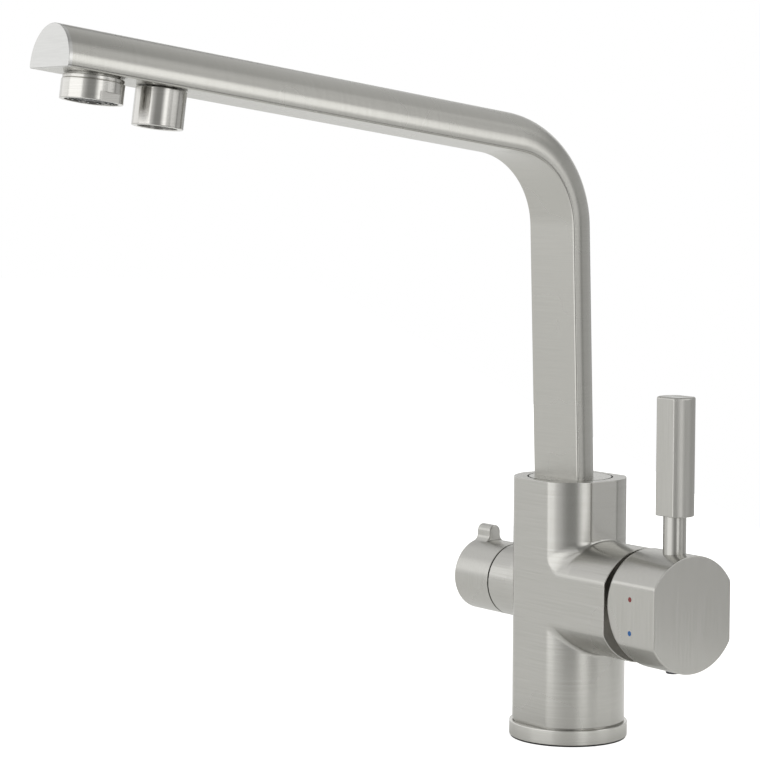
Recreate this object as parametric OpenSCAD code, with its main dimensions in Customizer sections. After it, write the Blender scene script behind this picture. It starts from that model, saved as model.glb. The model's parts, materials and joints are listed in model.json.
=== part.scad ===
// Deck-mounted kitchen mixer tap with a side lever, a filtered-water valve and a two-outlet swivel spout.
// Millimetres. +Z is up, the spout points to -Y, the lever is at +X, the filter knob at -X.
// The origin is the centre of the base underside, on the deck.

/* [Column] */
// diameter of the round column
column_dia = 49.9; // [48.8:0.1:52]
// height of the column top above the deck
column_h = 116.3; // [104:0.1:130]
// depth of the front and back flats cut into the round
flat_cut = 2.75; // [2.2:0.05:3]
// distance of the cross axis of lever and filter knob below the column top
axis_drop = 51.1; // [50:0.1:54]
// step of the base ring past the column
ring_step = 1.3; // [0.8:0.05:4]
// height of the base ring
ring_h = 7.2; // [6.4:0.1:10]
// reach of the lever branch from the column axis to its rim
branch_reach = 49; // [48.6:0.1:54]

/* [Spout] */
// width of the D-shaped spout section
spout_w = 30.4; // [27:0.1:31]
// depth of the D-shaped section from its flat to its round back
spout_depth = 17.2; // [16.6:0.1:18.4]
// wall of the spout tube
spout_wall = 1.6; // [1.2:0.1:1.8]
// forward lean of the riser in degrees
spout_lean = 1.82; // [0:0.02:4]
// rise of the arm towards its tip in degrees
arm_rise = 7.9; // [0:0.1:14]
// inside radius of the bend, on the flat
bend_r = 33.5; // [24:0.5:46]
// height above the column top of the corner where the riser flat and the arm flat would meet
spout_rise = 139.1; // [120:0.1:175]
// reach of the spout tip from the column axis
spout_reach = 259.8; // [225:0.2:300]

/* [Outlets] */
// outside diameter of the aerator housing
aerator_dia = 24.7; // [24:0.1:26]
// drop of the aerator below the arm
aerator_drop = 10; // [9:0.1:12]
// distance of the aerator axis from the spout tip
aerator_back = 20; // [15:0.5:26]
// outside diameter of the filtered-water outlet
filter_outlet_dia = 20.4; // [18:0.1:22]
// drop of the filtered-water outlet below the arm
filter_outlet_drop = 15.4; // [14.5:0.1:24]
// distance between the two outlet axes
outlet_pitch = 30.4; // [26:0.2:40]

/* [Lever] */
// diameter of the lever knob
knob_dia = 50.4; // [49:0.1:52]
// depth of the knob's front and back flats
knob_cut = 3.5; // [2.8:0.05:4]
// distance of the knob's end face from the branch rim
knob_reach = 31.3; // [30.5:0.1:38]
// distance of the lever axis from the branch rim
lever_offset = 19.6; // [18.5:0.1:21]
// outward tilt of the lever from closed to full flow in degrees
lever_tilt = 18; // [12:1:18]
// diameter of the lever stem
stem_dia = 9.8; // [8:0.1:10.4]
// diameter of the lever grip
grip_dia = 16.2; // [14:0.1:18]
// half thickness of the grip across its flats
grip_flat = 6.15; // [5.3:0.05:6.6]
// height of the grip's lower end above the cross axis
grip_rise = 41; // [32:0.1:50]
// length of the grip
grip_len = 50.5; // [40:0.5:70]

/* [Filter valve] */
// diameter of the filter neck and knob
neck_dia = 32.7; // [31.6:0.1:34]
// reach of the filter neck from the column axis
neck_reach = 37.6; // [37.2:0.1:42]
// length of the filter knob
filter_knob_len = 24.4; // [22:0.1:30]
// width of the tab on the filter knob
fin_w = 6.3; // [4.2:0.1:6.5]
// height of the tab above the filter knob
fin_rise = 6.8; // [5:0.1:9]
// length of the tab along the knob
fin_len = 9; // [6:0.1:12]

/* [Fits] */
// radial clearance of the turning fits
running_gap = 0.05; // [0.02:0.01:0.09]
// visible seam between the knobs and the body
seam = 0.4; // [0.35:0.05:0.8]

/* [Hidden] */
$fn = 72;
tiny = 0.5;
vast = 800;
axis_z = column_h - axis_drop;
corner_z = column_h + spout_rise;
column_r = column_dia / 2;
flat_half = column_r - flat_cut;
side_cut = 1.05;
side_half = column_r - side_cut;
branch_r = column_r - 0.15;
ring_r = column_r + ring_step;
ring_chamfer = 0.4;
spigot_r = 19.5;
ring_seam = 0.6;
ring_seam_depth = 0.8;
gasket_r_in = 21.3;
gasket_r_out = 24;
gasket_h = 2;

// inlet threads, stud threads and water passages of the body
inlet_r = 4.5;
inlet_depth = 12;
inlet_x = 6;
inlet_y = 9;
filter_inlet_x = -11;
passage_r = 3;
port_y = 8.2;
port_drop = 7;
outlet_rise = 9;
stud_r = 2.5;
stud_depth = 14;
stud_x = -6;
stud_y = 13.5;
filter_rise_x = -8.5;
filter_cross_rise = 13.8;
filter_cross_z = axis_z + filter_cross_rise;
filter_cross_r = 2.5;
mixed_rise_x = 8.3;

// spout bearing in the column top
spout_floor_z = axis_z + branch_r + 0.3;
foot_r = sqrt(pow(spout_w / 2, 2) + pow(spout_depth / 2, 2)) + 0.8;
foot_seam = 0.35;
foot_step = 5;
bush_h = 1;
bush_z = column_h - foot_step;
spigot_top_r = 13.5;
spout_bore_r = spigot_top_r + running_gap;
spigot_z = spout_floor_z + 1;
foot_bore_r = 6.4;
web_h = 2;
oring_r = 0.8;
oring_groove_w = 2.4;
upper_oring_z = bush_z - 3.2;
lower_oring_z = spigot_z + 4.4;
set_screw_z = (upper_oring_z + lower_oring_z) / 2;
set_screw_r = 2.5;
set_tip_r = 1.5;
set_groove_w = 3.8;
set_groove_r = 12;
nipple_r = 3.5;
nipple_bore_r = 2.5;
nipple_z = filter_cross_z + 5;
nipple_top = column_h + 0.6;

// path of the spout in the plane of its bend
flank = spout_depth - spout_w / 2;
flat_y = -spout_depth / 2 + 0.18;
corner_y = flat_y - (corner_z - column_h) * tan(spout_lean);
arm_flat_len = (spout_reach + corner_y) / cos(arm_rise);
tip_y = -spout_reach;
tip_z = corner_z + arm_flat_len * sin(arm_rise);
bend_angle = 90 - spout_lean - arm_rise;
tangent_len = bend_r * tan(bend_angle / 2);
bend_start_y = corner_y + tangent_len * sin(spout_lean);
bend_start_z = corner_z - tangent_len * cos(spout_lean);
bend_y = bend_start_y - bend_r * cos(spout_lean);
bend_z = bend_start_z - bend_r * sin(spout_lean);
riser_len = (corner_z - column_h) / cos(spout_lean) - tangent_len;
arm_len = arm_flat_len - tangent_len;
end_plate_h = 1.6;
tube_depth = -flat_y;

// outlets, measured down from the underside of the arm
aerator_r = aerator_dia / 2;
aerator_gap = 1.3;
aerator_boss_r = 10.2;
aerator_boss_bore_r = 8.4;
aerator_boss_drop = 5.4;
washer_h = 0.8;
insert_flange_h = 0.9;
insert_r = 9.3;
aerator_lip_r = 9.4;
aerator_lip_drop = aerator_boss_drop + washer_h + insert_flange_h;
insert_drop = aerator_drop - 0.9;
wrench_flat = aerator_r - 0.7;
wrench_drop = 4.6;
filter_back = aerator_back + outlet_pitch;
filter_outlet_r = filter_outlet_dia / 2;
filter_gap = 0.4;
filter_boss_r = 6.2;
filter_boss_top = 12.6;
filter_boss_drop = 6;
filter_boss_bore_r = 3;
straightener_h = 3;
straightener_recess = 2;
straightener_hole_r = 1.5;
straightener_ring_r = 4.4;

// mixer cartridge along the cross axis
cartridge_room = 37;
seat_x = branch_reach - cartridge_room;
seal_h = 0.6;
cartridge_x = seat_x + seal_h;
cartridge_r = 17.5;
cartridge_base = 3.4;
cartridge_floor_x = cartridge_x + cartridge_base;
cavity_r = 14.5;
disc_h = 3;
moving_disc_x = cartridge_floor_x + disc_h + running_gap;
moving_disc_r = 11.5;
carrier_x = moving_disc_x + disc_h;
carrier_h = 2.9;
rotor_back = 23.6;
rotor_h = 10;
rotor_x = branch_reach - rotor_back;
rotor_top_x = rotor_x + rotor_h;
rotor_neck_r = 9.3;
rotor_neck_h = 4;
rotor_neck_x = rotor_top_x + rotor_neck_h;
shoulder_back = 15;
shoulder_x = branch_reach - shoulder_back;
shoulder_r = 15;
cartridge_lid_x = rotor_top_x + 0.35;
shoulder_h = 4.6;
cartridge_top_x = shoulder_x + shoulder_h;
cup_depth = 8.4;
cup_floor_x = branch_reach - cup_depth;
cup_wall = 0.8;
cover_r_in = 12.5;
cover_rim = 5.6;
cover_lip = 1.2;
nut_r = 19.2;
nut_x = cup_floor_x - 0.2;
nut_slot_w = 4;
nut_slot_depth = 2.4;
pivot_back = 16;
pivot_x = branch_reach - pivot_back;
pivot_r = 1.6;
pivot_half = 12;
spindle_half = 4;
spindle_slot_y = 4.3;
spindle_slot_z = 7;
ball_r = 3;
ball_half = 2.6;
ball_arm = 7.5;
ball_x = pivot_x - ball_arm;
ball_gap = 0.35;

// lever knob
knob_r = knob_dia / 2;
knob_half = knob_r - knob_cut;
knob_x = branch_reach + knob_reach;
lever_x = branch_reach + lever_offset;
dome_r = 30;
dome_reach = 22.4;
dome_x = branch_reach + dome_reach;
dome_z = 2.5;
rim_gap = 0.4;
hub_r = 8;
hub_depth = 6;
hub_x = branch_reach - hub_depth;
spindle_reach = 24;
spindle_end_x = branch_reach + spindle_reach;
stem_r = stem_dia / 2;
stem_root = 10;
stem_root_z = axis_z + stem_root;
grip_z = axis_z + grip_rise;
stem_in_grip = 8;
stem_top_z = grip_z + stem_in_grip;
grub_r = 2.5;
grub_root = 20;
plug_r = 3.1;
plug_depth = 3.4;
plug_drop = 1.2;
marker_r = 0.95;
marker_reach = 16.1;
marker_x = branch_reach + marker_reach;
marker_z = 7.2;
marker_low = 0.5;
marker_depth = 0.6;

// filter valve along the cross axis, distances towards -X
neck_r = neck_dia / 2;
valve_room = 25.6;
valve_seat = neck_reach - valve_room;
headwork_start = valve_seat + 0.5;
headwork_r = 9.6;
chamber_r = 11.2;
chamber_at = 5.5;
chamber_len = 3.8;
chamber_start = valve_seat + chamber_at;
chamber_end = chamber_start + chamber_len;
window_at = (chamber_start + chamber_end) / 2;
window_r = 1.3;
flange_back = 7;
flange_h = 4.4;
flange_start = neck_reach - flange_back;
flange_end = flange_start + flange_h;
flange_r = 12.6;
flange_room_r = 13;
headwork_nose_r = 7.5;
headwork_end = neck_reach - 0.2;
valve_cavity_r = 6.8;
valve_cavity = 9;
valve_cavity_end = valve_seat + valve_cavity;
valve_disc_h = 2.8;
turning_disc_start = headwork_start + valve_disc_h + running_gap;
fork_start = turning_disc_start + 2.5;
collar_r = 5.6;
collar_at = 7;
collar_start = valve_seat + collar_at;
shaft_r = 4;
shaft_bore_r = shaft_r + running_gap;
shaft_oring_r = 0.7;
shaft_seal = 16;
shaft_oring_at = valve_seat + shaft_seal;
spline_r = 3.6;
spline_start = neck_reach - 0.6;
filter_knob_start = neck_reach + seam;
filter_knob_end = filter_knob_start + filter_knob_len;
knob_cavity_r = neck_r - 2.6;
knob_cavity = 6;
spline_len = 14;
filter_grub = 10;
knob_cavity_end = filter_knob_start + knob_cavity;
spline_end = filter_knob_start + spline_len;
filter_grub_at = filter_knob_start + filter_grub;
filter_grub_r = 2;
filter_grub_drop = neck_r - 2.5;
valve_port_r = 1.9;
valve_port_off = 3.6;
fin_flare_r = 2.4;
fin_sink = 0.25;
fin_end = filter_knob_end - 0.1;

// colours of the finishes
satin_nickel = [0.72, 0.71, 0.68];
bright_nickel = [0.82, 0.81, 0.79];
brass_yellow = [0.78, 0.62, 0.32];
ceramic_white = [0.93, 0.92, 0.88];
rubber_black = [0.06, 0.06, 0.06];
plastic_grey = [0.35, 0.36, 0.37];
plastic_white = [0.86, 0.87, 0.88];
steel_grey = [0.55, 0.56, 0.57];
marker_red = [0.62, 0.12, 0.11];
marker_blue = [0.07, 0.35, 0.66];

// cylinder along +X on the cross axis, from x = start to x = end
module along_x(start, end, radius) {
    translate([start, 0, axis_z])
        rotate([0, 90, 0])
            cylinder(h = end - start, r = radius);
}

// cylinder along X at a place beside the cross axis
module port_x(start, end, radius, side, rise) {
    translate([0, side, rise])
        along_x(start, end, radius);
}

// cylinder towards -X on the cross axis, from distance start to distance end
module along_minus_x(start, end, radius) {
    along_x(-end, -start, radius);
}

// upright cylinder from z = low to z = high
module upright(x, y, low, high, radius) {
    translate([x, y, low])
        cylinder(h = high - low, r = radius);
}

// slab between two planes y = -half and y = half, large in x and z
module flat_slab(half) {
    translate([-vast / 2, -half, -vast / 2])
        cube([vast, 2 * half, vast]);
}

// round bar along X with front and back flats
module flatted_bar(start, end, radius, half) {
    intersection() {
        along_x(start, end, radius);
        flat_slab(half);
    }
}

// ring of round section about the z axis
module oring_z(z, ring_radius, cord_radius) {
    translate([0, 0, z])
        rotate_extrude()
            translate([ring_radius, 0])
                circle(r = cord_radius, $fn = 24);
}

// frame on the underside of the arm at a distance from the tip: local z is up out of the arm
module on_arm(back) {
    translate([0, tip_y + back * cos(arm_rise), tip_z - back * sin(arm_rise)])
        rotate([-arm_rise, 0, 0])
            children();
}

// D-shaped section of the spout, flat at x = inset, round back towards +x
module spout_section(inset) {
    radius = spout_w / 2 - inset;
    intersection() {
        translate([flank, 0])
            circle(r = radius, $fn = 96);
        translate([flank, -spout_w])
            square([spout_w, 2 * spout_w]);
    }
    if (flank > inset)
        translate([inset, -radius])
            square([flank - inset, 2 * radius]);
}

// wall of the spout in section
module spout_wall_section() {
    difference() {
        spout_section(0);
        spout_section(spout_wall);
    }
}

// a plane section carried up the riser, round the bend and along the arm, about the middle of the bend
module along_spout(root, tip_cut) {
    half_bend = bend_angle / 2;
    translate([0, bend_y, bend_z])
        rotate([90, 0, 90])
            rotate([0, 0, spout_lean + half_bend]) {
                rotate([0, 0, -half_bend])
                    translate([bend_r, 0, 0])
                        rotate([90, 0, 0])
                            linear_extrude(height = riser_len + root)
                                children();
                intersection() {
                    rotate([0, 0, 180 + half_bend])
                        rotate_extrude()
                            translate([bend_r, 0])
                                children();
                    rotate([0, 0, -half_bend])
                        translate([0, 0, -vast / 2])
                            cube(vast);
                    rotate([0, 0, half_bend])
                        translate([0, -vast, -vast / 2])
                            cube(vast);
                }
                rotate([0, 0, half_bend])
                    translate([bend_r, arm_len - tip_cut, 0])
                        rotate([90, 0, 0])
                            linear_extrude(height = arm_len - tip_cut)
                                children();
            }
}

// everything below a level plane
module below(z) {
    translate([-vast / 2, -vast / 2, z - vast])
        cube(vast);
}

// outside of the body: column, lever branch and filter neck with common front and back flats
module body_outside() {
    intersection() {
        union() {
            difference() {
                upright(0, 0, ring_h + ring_seam, column_h, column_r);
                for (side = [-1, 1])
                    translate([side * (side_half + column_r), 0, axis_z + column_h])
                        cube([2 * column_r, 3 * column_r, 2 * column_h], center = true);
            }
            along_x(0, branch_reach, branch_r);
            along_minus_x(0, neck_reach, neck_r);
        }
        flat_slab(flat_half);
    }
    intersection() {
        upright(0, 0, ring_h, ring_h + ring_seam + tiny, column_r - ring_seam_depth);
        flat_slab(flat_half - ring_seam_depth);
    }
    upright(0, 0, 0, ring_h + tiny, spigot_r);
}

// water passages from the inlets to the cartridge seat, the filter valve and the spout
module body_passages() {
    for (side = [-1, 1]) {
        upright(inlet_x, side * inlet_y, -tiny, inlet_depth, inlet_r);
        upright(inlet_x, side * port_y, inlet_depth - tiny, axis_z - port_drop, passage_r);
        port_x(inlet_x, seat_x + tiny, passage_r, side * port_y, -port_drop);
        upright(stud_x, side * stud_y, -tiny, stud_depth, stud_r);
    }
    port_x(mixed_rise_x, seat_x + tiny, passage_r, 0, outlet_rise);
    upright(mixed_rise_x, 0, axis_z + outlet_rise, spout_floor_z + tiny, passage_r);
    upright(filter_inlet_x, 0, -tiny, inlet_depth, inlet_r);
    upright(filter_rise_x, 0, inlet_depth - tiny, axis_z, passage_r);
    along_minus_x(-filter_rise_x, valve_seat + tiny, passage_r);
    upright(-window_at, 0, axis_z + 8, filter_cross_z, filter_cross_r);
    port_x(-window_at, 0, filter_cross_r, 0, filter_cross_z - axis_z);
    upright(0, 0, filter_cross_z, nipple_z, filter_cross_r);
}

// rooms for the cartridge, the filter headwork and the spout bearing
module body_rooms() {
    along_x(seat_x, branch_reach + tiny, cartridge_r);
    along_x(shoulder_x, branch_reach + tiny, nut_r);
    flatted_bar(cup_floor_x, branch_reach + tiny, branch_r - cup_wall, flat_half - cup_wall);
    along_minus_x(valve_seat, neck_reach + tiny, headwork_r);
    along_minus_x(chamber_start, chamber_end, chamber_r);
    along_minus_x(flange_start, neck_reach + tiny, flange_room_r);
    upright(0, 0, spout_floor_z, column_h + tiny, spout_bore_r);
    upright(0, 0, bush_z, column_h + tiny, foot_r + foot_seam);
    upright(0, 0, nipple_z - tiny, spout_floor_z + tiny, nipple_r + running_gap);
    translate([0, 0, set_screw_z])
        rotate([-90, 0, 0])
            cylinder(h = column_r + tiny, r = set_screw_r);
}

module body_casting() {
    color(satin_nickel)
        difference() {
            body_outside();
            body_passages();
            body_rooms();
        }
}

module base_ring() {
    color(satin_nickel)
        rotate_extrude()
            difference() {
                polygon([[spigot_r, 0], [ring_r - ring_chamfer, 0], [ring_r, ring_chamfer],
                    [ring_r, ring_h - ring_chamfer], [ring_r - ring_chamfer, ring_h], [spigot_r, ring_h]]);
                translate([gasket_r_in, -tiny])
                    square([gasket_r_out - gasket_r_in, gasket_h + tiny]);
            }
}

module base_gasket() {
    color(rubber_black)
        rotate_extrude()
            translate([gasket_r_in, 0])
                square([gasket_r_out - gasket_r_in, gasket_h]);
}

module swivel_bush() {
    color(plastic_white)
        rotate_extrude()
            translate([spout_bore_r, bush_z])
                square([foot_r + foot_seam - spout_bore_r, bush_h]);
}

// hexagon socket screw from the back of the column into the groove of the spout spigot
module spout_set_screw() {
    tail = 0.6;
    tip_y0 = set_groove_r + 0.4;
    thread_y0 = spout_bore_r + 0.4;
    color(steel_grey)
        translate([0, 0, set_screw_z])
            rotate([-90, 0, 0])
                difference() {
                    union() {
                        translate([0, 0, tip_y0])
                            cylinder(h = thread_y0 - tip_y0 + tiny, r = set_tip_r);
                        translate([0, 0, thread_y0])
                            cylinder(h = flat_half - tail - thread_y0, r = set_screw_r);
                    }
                    translate([0, 0, flat_half - tail - 2.6])
                        cylinder(h = 4, r = 1.45, $fn = 6);
                }
}

// the three port holes of the cartridge base
module cartridge_ports(start, end, radius) {
    for (side = [-1, 1])
        port_x(start, end, radius, side * port_y, -port_drop);
    port_x(start, end, radius, 0, outlet_rise);
}

module cartridge_seal() {
    color(rubber_black)
        difference() {
            along_x(seat_x, cartridge_x, cartridge_r - 1);
            cartridge_ports(seat_x - tiny, cartridge_x + tiny, passage_r);
        }
}

module cartridge_housing() {
    color(plastic_white)
        difference() {
            union() {
                along_x(cartridge_x, shoulder_x, cartridge_r);
                along_x(shoulder_x - tiny, cartridge_top_x, shoulder_r);
            }
            cartridge_ports(cartridge_x - tiny, cartridge_floor_x + tiny, passage_r);
            along_x(cartridge_floor_x, cartridge_lid_x, cavity_r);
            along_x(cartridge_lid_x - tiny, cartridge_top_x + tiny, rotor_neck_r + running_gap);
        }
}

module fixed_ceramic_disc() {
    color(ceramic_white)
        difference() {
            along_x(cartridge_floor_x, cartridge_floor_x + disc_h, cavity_r);
            cartridge_ports(cartridge_floor_x - tiny, cartridge_floor_x + disc_h + tiny, passage_r);
        }
}

// threaded ring that holds the cartridge, with four slots for its key
module cartridge_nut() {
    color(brass_yellow)
        difference() {
            along_x(shoulder_x, nut_x, nut_r);
            along_x(shoulder_x - tiny, nut_x + tiny, shoulder_r);
            for (turn = [45, 135])
                translate([nut_x, 0, axis_z])
                    rotate([turn, 0, 0])
                        cube([2 * nut_slot_depth, 3 * nut_r, nut_slot_w], center = true);
        }
}

// dished ring that covers the nut at the bottom of the cup
module cartridge_cover() {
    cover_r = branch_r - cup_wall;
    color(satin_nickel)
        intersection() {
            translate([cup_floor_x, 0, axis_z])
                rotate([0, 90, 0])
                    rotate_extrude()
                        polygon([[cover_r_in, 0], [cover_r, 0],
                            [cover_r, cover_rim], [cover_r_in, cover_lip]]);
            flat_slab(flat_half - cup_wall);
        }
}

// plastic rotor: turns with the lever and carries the pivot of the spindle
module cartridge_rotor() {
    color(plastic_grey)
        difference() {
            union() {
                along_x(rotor_x, rotor_top_x, cavity_r - running_gap);
                along_x(rotor_top_x - tiny, rotor_neck_x, rotor_neck_r);
            }
            translate([(rotor_x + rotor_neck_x) / 2, 0, axis_z])
                cube([2 * cavity_r, 2 * spindle_slot_y, 2 * spindle_slot_z], center = true);
            translate([pivot_x, 0, axis_z])
                rotate([90, 0, 0])
                    cylinder(h = 2 * pivot_half, r = pivot_r, center = true);
        }
}

module pivot_pin() {
    color(steel_grey)
        translate([pivot_x, 0, axis_z])
            rotate([90, 0, 0])
                cylinder(h = 2 * pivot_half, r = pivot_r, center = true);
}

// sliding disc with a mixing pocket on its sealing face
module moving_ceramic_disc() {
    color(ceramic_white)
        difference() {
            along_x(moving_disc_x, carrier_x, moving_disc_r);
            port_x(moving_disc_x - tiny, moving_disc_x + disc_h / 2, 5.4, 0, 4);
        }
}

module disc_carrier() {
    color(plastic_grey)
        difference() {
            along_x(carrier_x, carrier_x + carrier_h, moving_disc_r);
            along_x(carrier_x - tiny, carrier_x + carrier_h + tiny, ball_r + ball_gap);
        }
}

// square spindle on its pivot, with a rounded end that pushes the disc carrier
module lever_spindle() {
    color(steel_grey)
        difference() {
            union() {
                translate([ball_x, 0, axis_z])
                    rotate([0, 90, 0])
                        rotate_extrude()
                            intersection() {
                                circle(r = ball_r, $fn = 32);
                                translate([0, -ball_half])
                                    square([ball_r, 2 * ball_half]);
                            }
                along_x(ball_x, pivot_x - 4, ball_r - 0.5);
                translate([pivot_x - 4.5, -spindle_half, axis_z - spindle_half])
                    cube([spindle_end_x - pivot_x + 4.5, 2 * spindle_half, 2 * spindle_half]);
            }
            translate([pivot_x, 0, axis_z])
                rotate([90, 0, 0])
                    cylinder(h = 3 * pivot_half, r = pivot_r + running_gap, center = true);
        }
}

// all that lies behind the rim plane when the lever is tilted by an angle
module behind_rim(turn) {
    translate([pivot_x, 0, axis_z])
        rotate([0, -turn, 0])
            translate([branch_reach - pivot_x + rim_gap - vast, -vast / 2, -vast / 2])
                cube(vast);
}

// round body with a ball-shaped rear, set a little above the cross axis
module knob_dome() {
    translate([dome_x, 0, axis_z + dome_z])
        rotate([0, 90, 0])
            rotate_extrude() {
                intersection() {
                    circle(r = dome_r, $fn = 96);
                    translate([0, -dome_r])
                        square([dome_r, dome_r]);
                }
                square([dome_r, dome_r]);
            }
}

// outside of the lever knob: flatted bar with a domed rear that clears the rim through the whole tilt
module knob_outside() {
    difference() {
        intersection() {
            flatted_bar(branch_reach + rim_gap, knob_x, knob_r, knob_half);
            knob_dome();
        }
        behind_rim(lever_tilt);
    }
    along_x(hub_x, dome_x, hub_r);
}

module lever_knob() {
    color(satin_nickel)
        difference() {
            knob_outside();
            translate([pivot_x, -spindle_half, axis_z - spindle_half])
                cube([spindle_end_x - pivot_x, 2 * spindle_half, 2 * spindle_half]);
            upright(lever_x, 0, stem_root_z, axis_z + knob_r + tiny, stem_r);
            upright(lever_x, 0, axis_z - knob_r - tiny, axis_z - spindle_half + tiny, grub_r);
            upright(lever_x, 0, axis_z - knob_r - tiny, axis_z - knob_r + plug_depth, plug_r);
            for (place = [marker_z, -marker_z])
                marker_disc(place, marker_depth + tiny);
        }
}

module lever_grub_screw() {
    color(steel_grey)
        difference() {
            upright(lever_x, 0, axis_z - grub_root, axis_z - spindle_half, grub_r);
            upright(lever_x, 0, axis_z - grub_root - tiny, axis_z - grub_root + 3, 1.45, $fn = 6);
        }
}

module screw_plug() {
    color(steel_grey)
        upright(lever_x, 0, axis_z - knob_r - plug_drop, axis_z - knob_r + plug_depth, plug_r);
}

module lever_stem() {
    color(bright_nickel)
        upright(lever_x, 0, stem_root_z, stem_top_z, stem_r);
}

// grip: round bar with front and back flats and a broken top edge
module lever_grip() {
    grip_r = grip_dia / 2;
    crown = 0.9;
    color(satin_nickel)
        difference() {
            intersection() {
                translate([lever_x, 0, grip_z])
                    rotate_extrude()
                        polygon([[0, 0], [grip_r - 0.3, 0], [grip_r, 0.3],
                            [grip_r, grip_len - crown], [grip_r - crown / 3, grip_len - crown / 3],
                            [grip_r - crown, grip_len], [0, grip_len]]);
                flat_slab(grip_flat);
            }
            upright(lever_x, 0, grip_z - tiny, stem_top_z, stem_r);
        }
}

// inlaid colour dot on the knob's front flat
module marker_disc(place, depth) {
    translate([marker_x, -knob_half + marker_depth, axis_z + place - marker_low])
        rotate([90, 0, 0])
            cylinder(h = depth, r = marker_r, $fn = 32);
}

module hot_marker() {
    color(marker_red)
        marker_disc(marker_z, marker_depth);
}

module cold_marker() {
    color(marker_blue)
        marker_disc(-marker_z, marker_depth);
}

// quarter-turn headwork in the filter neck
module headwork_body() {
    color(brass_yellow)
        difference() {
            union() {
                along_minus_x(headwork_start, flange_start + tiny, headwork_r);
                translate([-flange_end, 0, axis_z])
                    rotate([0, 90, 0])
                        cylinder(h = flange_end - flange_start, r = flange_r, $fn = 6);
                along_minus_x(flange_end - tiny, headwork_end, headwork_nose_r);
            }
            along_minus_x(headwork_start - tiny, valve_cavity_end, valve_cavity_r);
            along_minus_x(valve_cavity_end - tiny, headwork_end + tiny, shaft_bore_r);
            translate([-window_at, 0, axis_z - chamber_r])
                cylinder(h = 2 * chamber_r, r = window_r);
            translate([-window_at, 0, axis_z])
                rotate([90, 0, 0])
                    cylinder(h = 2 * chamber_r, r = window_r, center = true);
        }
}

module headwork_seal() {
    color(rubber_black)
        difference() {
            along_minus_x(valve_seat, headwork_start, headwork_r - 0.2);
            along_minus_x(valve_seat - tiny, headwork_start + tiny, 5.8);
        }
}

// ceramic disc of the filter valve with two opposite ports, turned by an angle
module valve_disc(start, end, radius, turn) {
    difference() {
        along_minus_x(start, end, radius);
        translate([0, 0, axis_z])
            rotate([turn, 0, 0])
                translate([0, 0, -axis_z])
                    for (side = [-1, 1])
                        port_x(-end - tiny, -start + tiny, valve_port_r, 0, side * valve_port_off);
    }
}

module valve_fixed_disc() {
    color(ceramic_white)
        valve_disc(headwork_start, headwork_start + valve_disc_h, valve_cavity_r, 0);
}

module valve_turning_disc() {
    color(ceramic_white)
        valve_disc(turning_disc_start, fork_start, valve_cavity_r - running_gap, 90);
}

// spindle of the filter valve: fork bar, collar, shaft with a seal groove, and the drive end in the knob
module valve_spindle() {
    color(brass_yellow)
        difference() {
            union() {
                translate([-collar_start - tiny, -6.3, axis_z - 1.7])
                    cube([collar_start + tiny - fork_start, 12.6, 3.4]);
                along_minus_x(collar_start, valve_cavity_end - 0.3, collar_r);
                along_minus_x(collar_start, spline_start, shaft_r);
                along_minus_x(spline_start - tiny, spline_end, spline_r);
            }
            translate([-shaft_oring_at, 0, axis_z])
                rotate([0, 90, 0])
                    difference() {
                        cylinder(h = 2, r = shaft_r + 1, center = true);
                        cylinder(h = 3, r = shaft_r - 2 * shaft_oring_r, center = true);
                    }
        }
}

module spindle_oring() {
    color(rubber_black)
        translate([-shaft_oring_at, 0, axis_z])
            rotate([0, 90, 0])
                oring_z(0, shaft_r - shaft_oring_r, shaft_oring_r);
}

// outline of the tab across the knob: round top, flared foot that runs into the knob
module fin_outline() {
    half = fin_w / 2;
    top = neck_r + fin_rise;
    foot = sqrt(pow(neck_r, 2) - pow(half + fin_flare_r, 2)) - fin_sink;
    translate([0, top - half])
        circle(r = half, $fn = 48);
    translate([-half, foot - 2])
        square([fin_w, top - half - foot + 2]);
    difference() {
        translate([-half - fin_flare_r, foot - 2])
            square([fin_w + 2 * fin_flare_r, fin_flare_r + 2]);
        for (side = [-1, 1])
            translate([side * (half + fin_flare_r), foot + fin_flare_r])
                circle(r = fin_flare_r, $fn = 48);
    }
}

module filter_knob() {
    color(satin_nickel)
        difference() {
            union() {
                along_minus_x(filter_knob_start, filter_knob_end, neck_r);
                translate([-fin_end, 0, axis_z])
                    rotate([90, 0, 90])
                        linear_extrude(height = fin_len)
                            fin_outline();
            }
            along_minus_x(filter_knob_start - tiny, knob_cavity_end, knob_cavity_r);
            along_minus_x(filter_knob_start, spline_end, spline_r);
            upright(-filter_grub_at, 0, axis_z - neck_r - tiny, axis_z, filter_grub_r);
        }
}

module filter_grub_screw() {
    socket_z = axis_z - filter_grub_drop;
    color(steel_grey)
        difference() {
            upright(-filter_grub_at, 0, socket_z, axis_z - spline_r, filter_grub_r);
            along_minus_x(filter_grub_at - 5, filter_grub_at + 5, spline_r);
            upright(-filter_grub_at, 0, socket_z - tiny, socket_z + 2.4, 1.1, $fn = 6);
        }
}

// swivel foot: disc flush with the column top and a spigot with two seal grooves and a holding groove
module spout_foot() {
    disc_z = bush_z + bush_h + running_gap;
    color(satin_nickel)
        difference() {
            union() {
                upright(0, 0, disc_z, column_h, foot_r);
                upright(0, 0, spigot_z, disc_z + tiny, spigot_top_r);
            }
            upright(0, 0, spigot_z + web_h, column_h + tiny, foot_bore_r);
            upright(0, 0, spigot_z - tiny, spigot_z + web_h + tiny, nipple_r);
            for (turn = [45:90:315])
                rotate([0, 0, turn])
                    upright(4.95, 0, spigot_z - tiny, spigot_z + web_h + tiny, 1.2);
            for (z = [upper_oring_z, lower_oring_z])
                spigot_groove(z, oring_groove_w, spigot_top_r - 2 * oring_r);
            spigot_groove(set_screw_z, set_groove_w, set_groove_r);
        }
}

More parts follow.
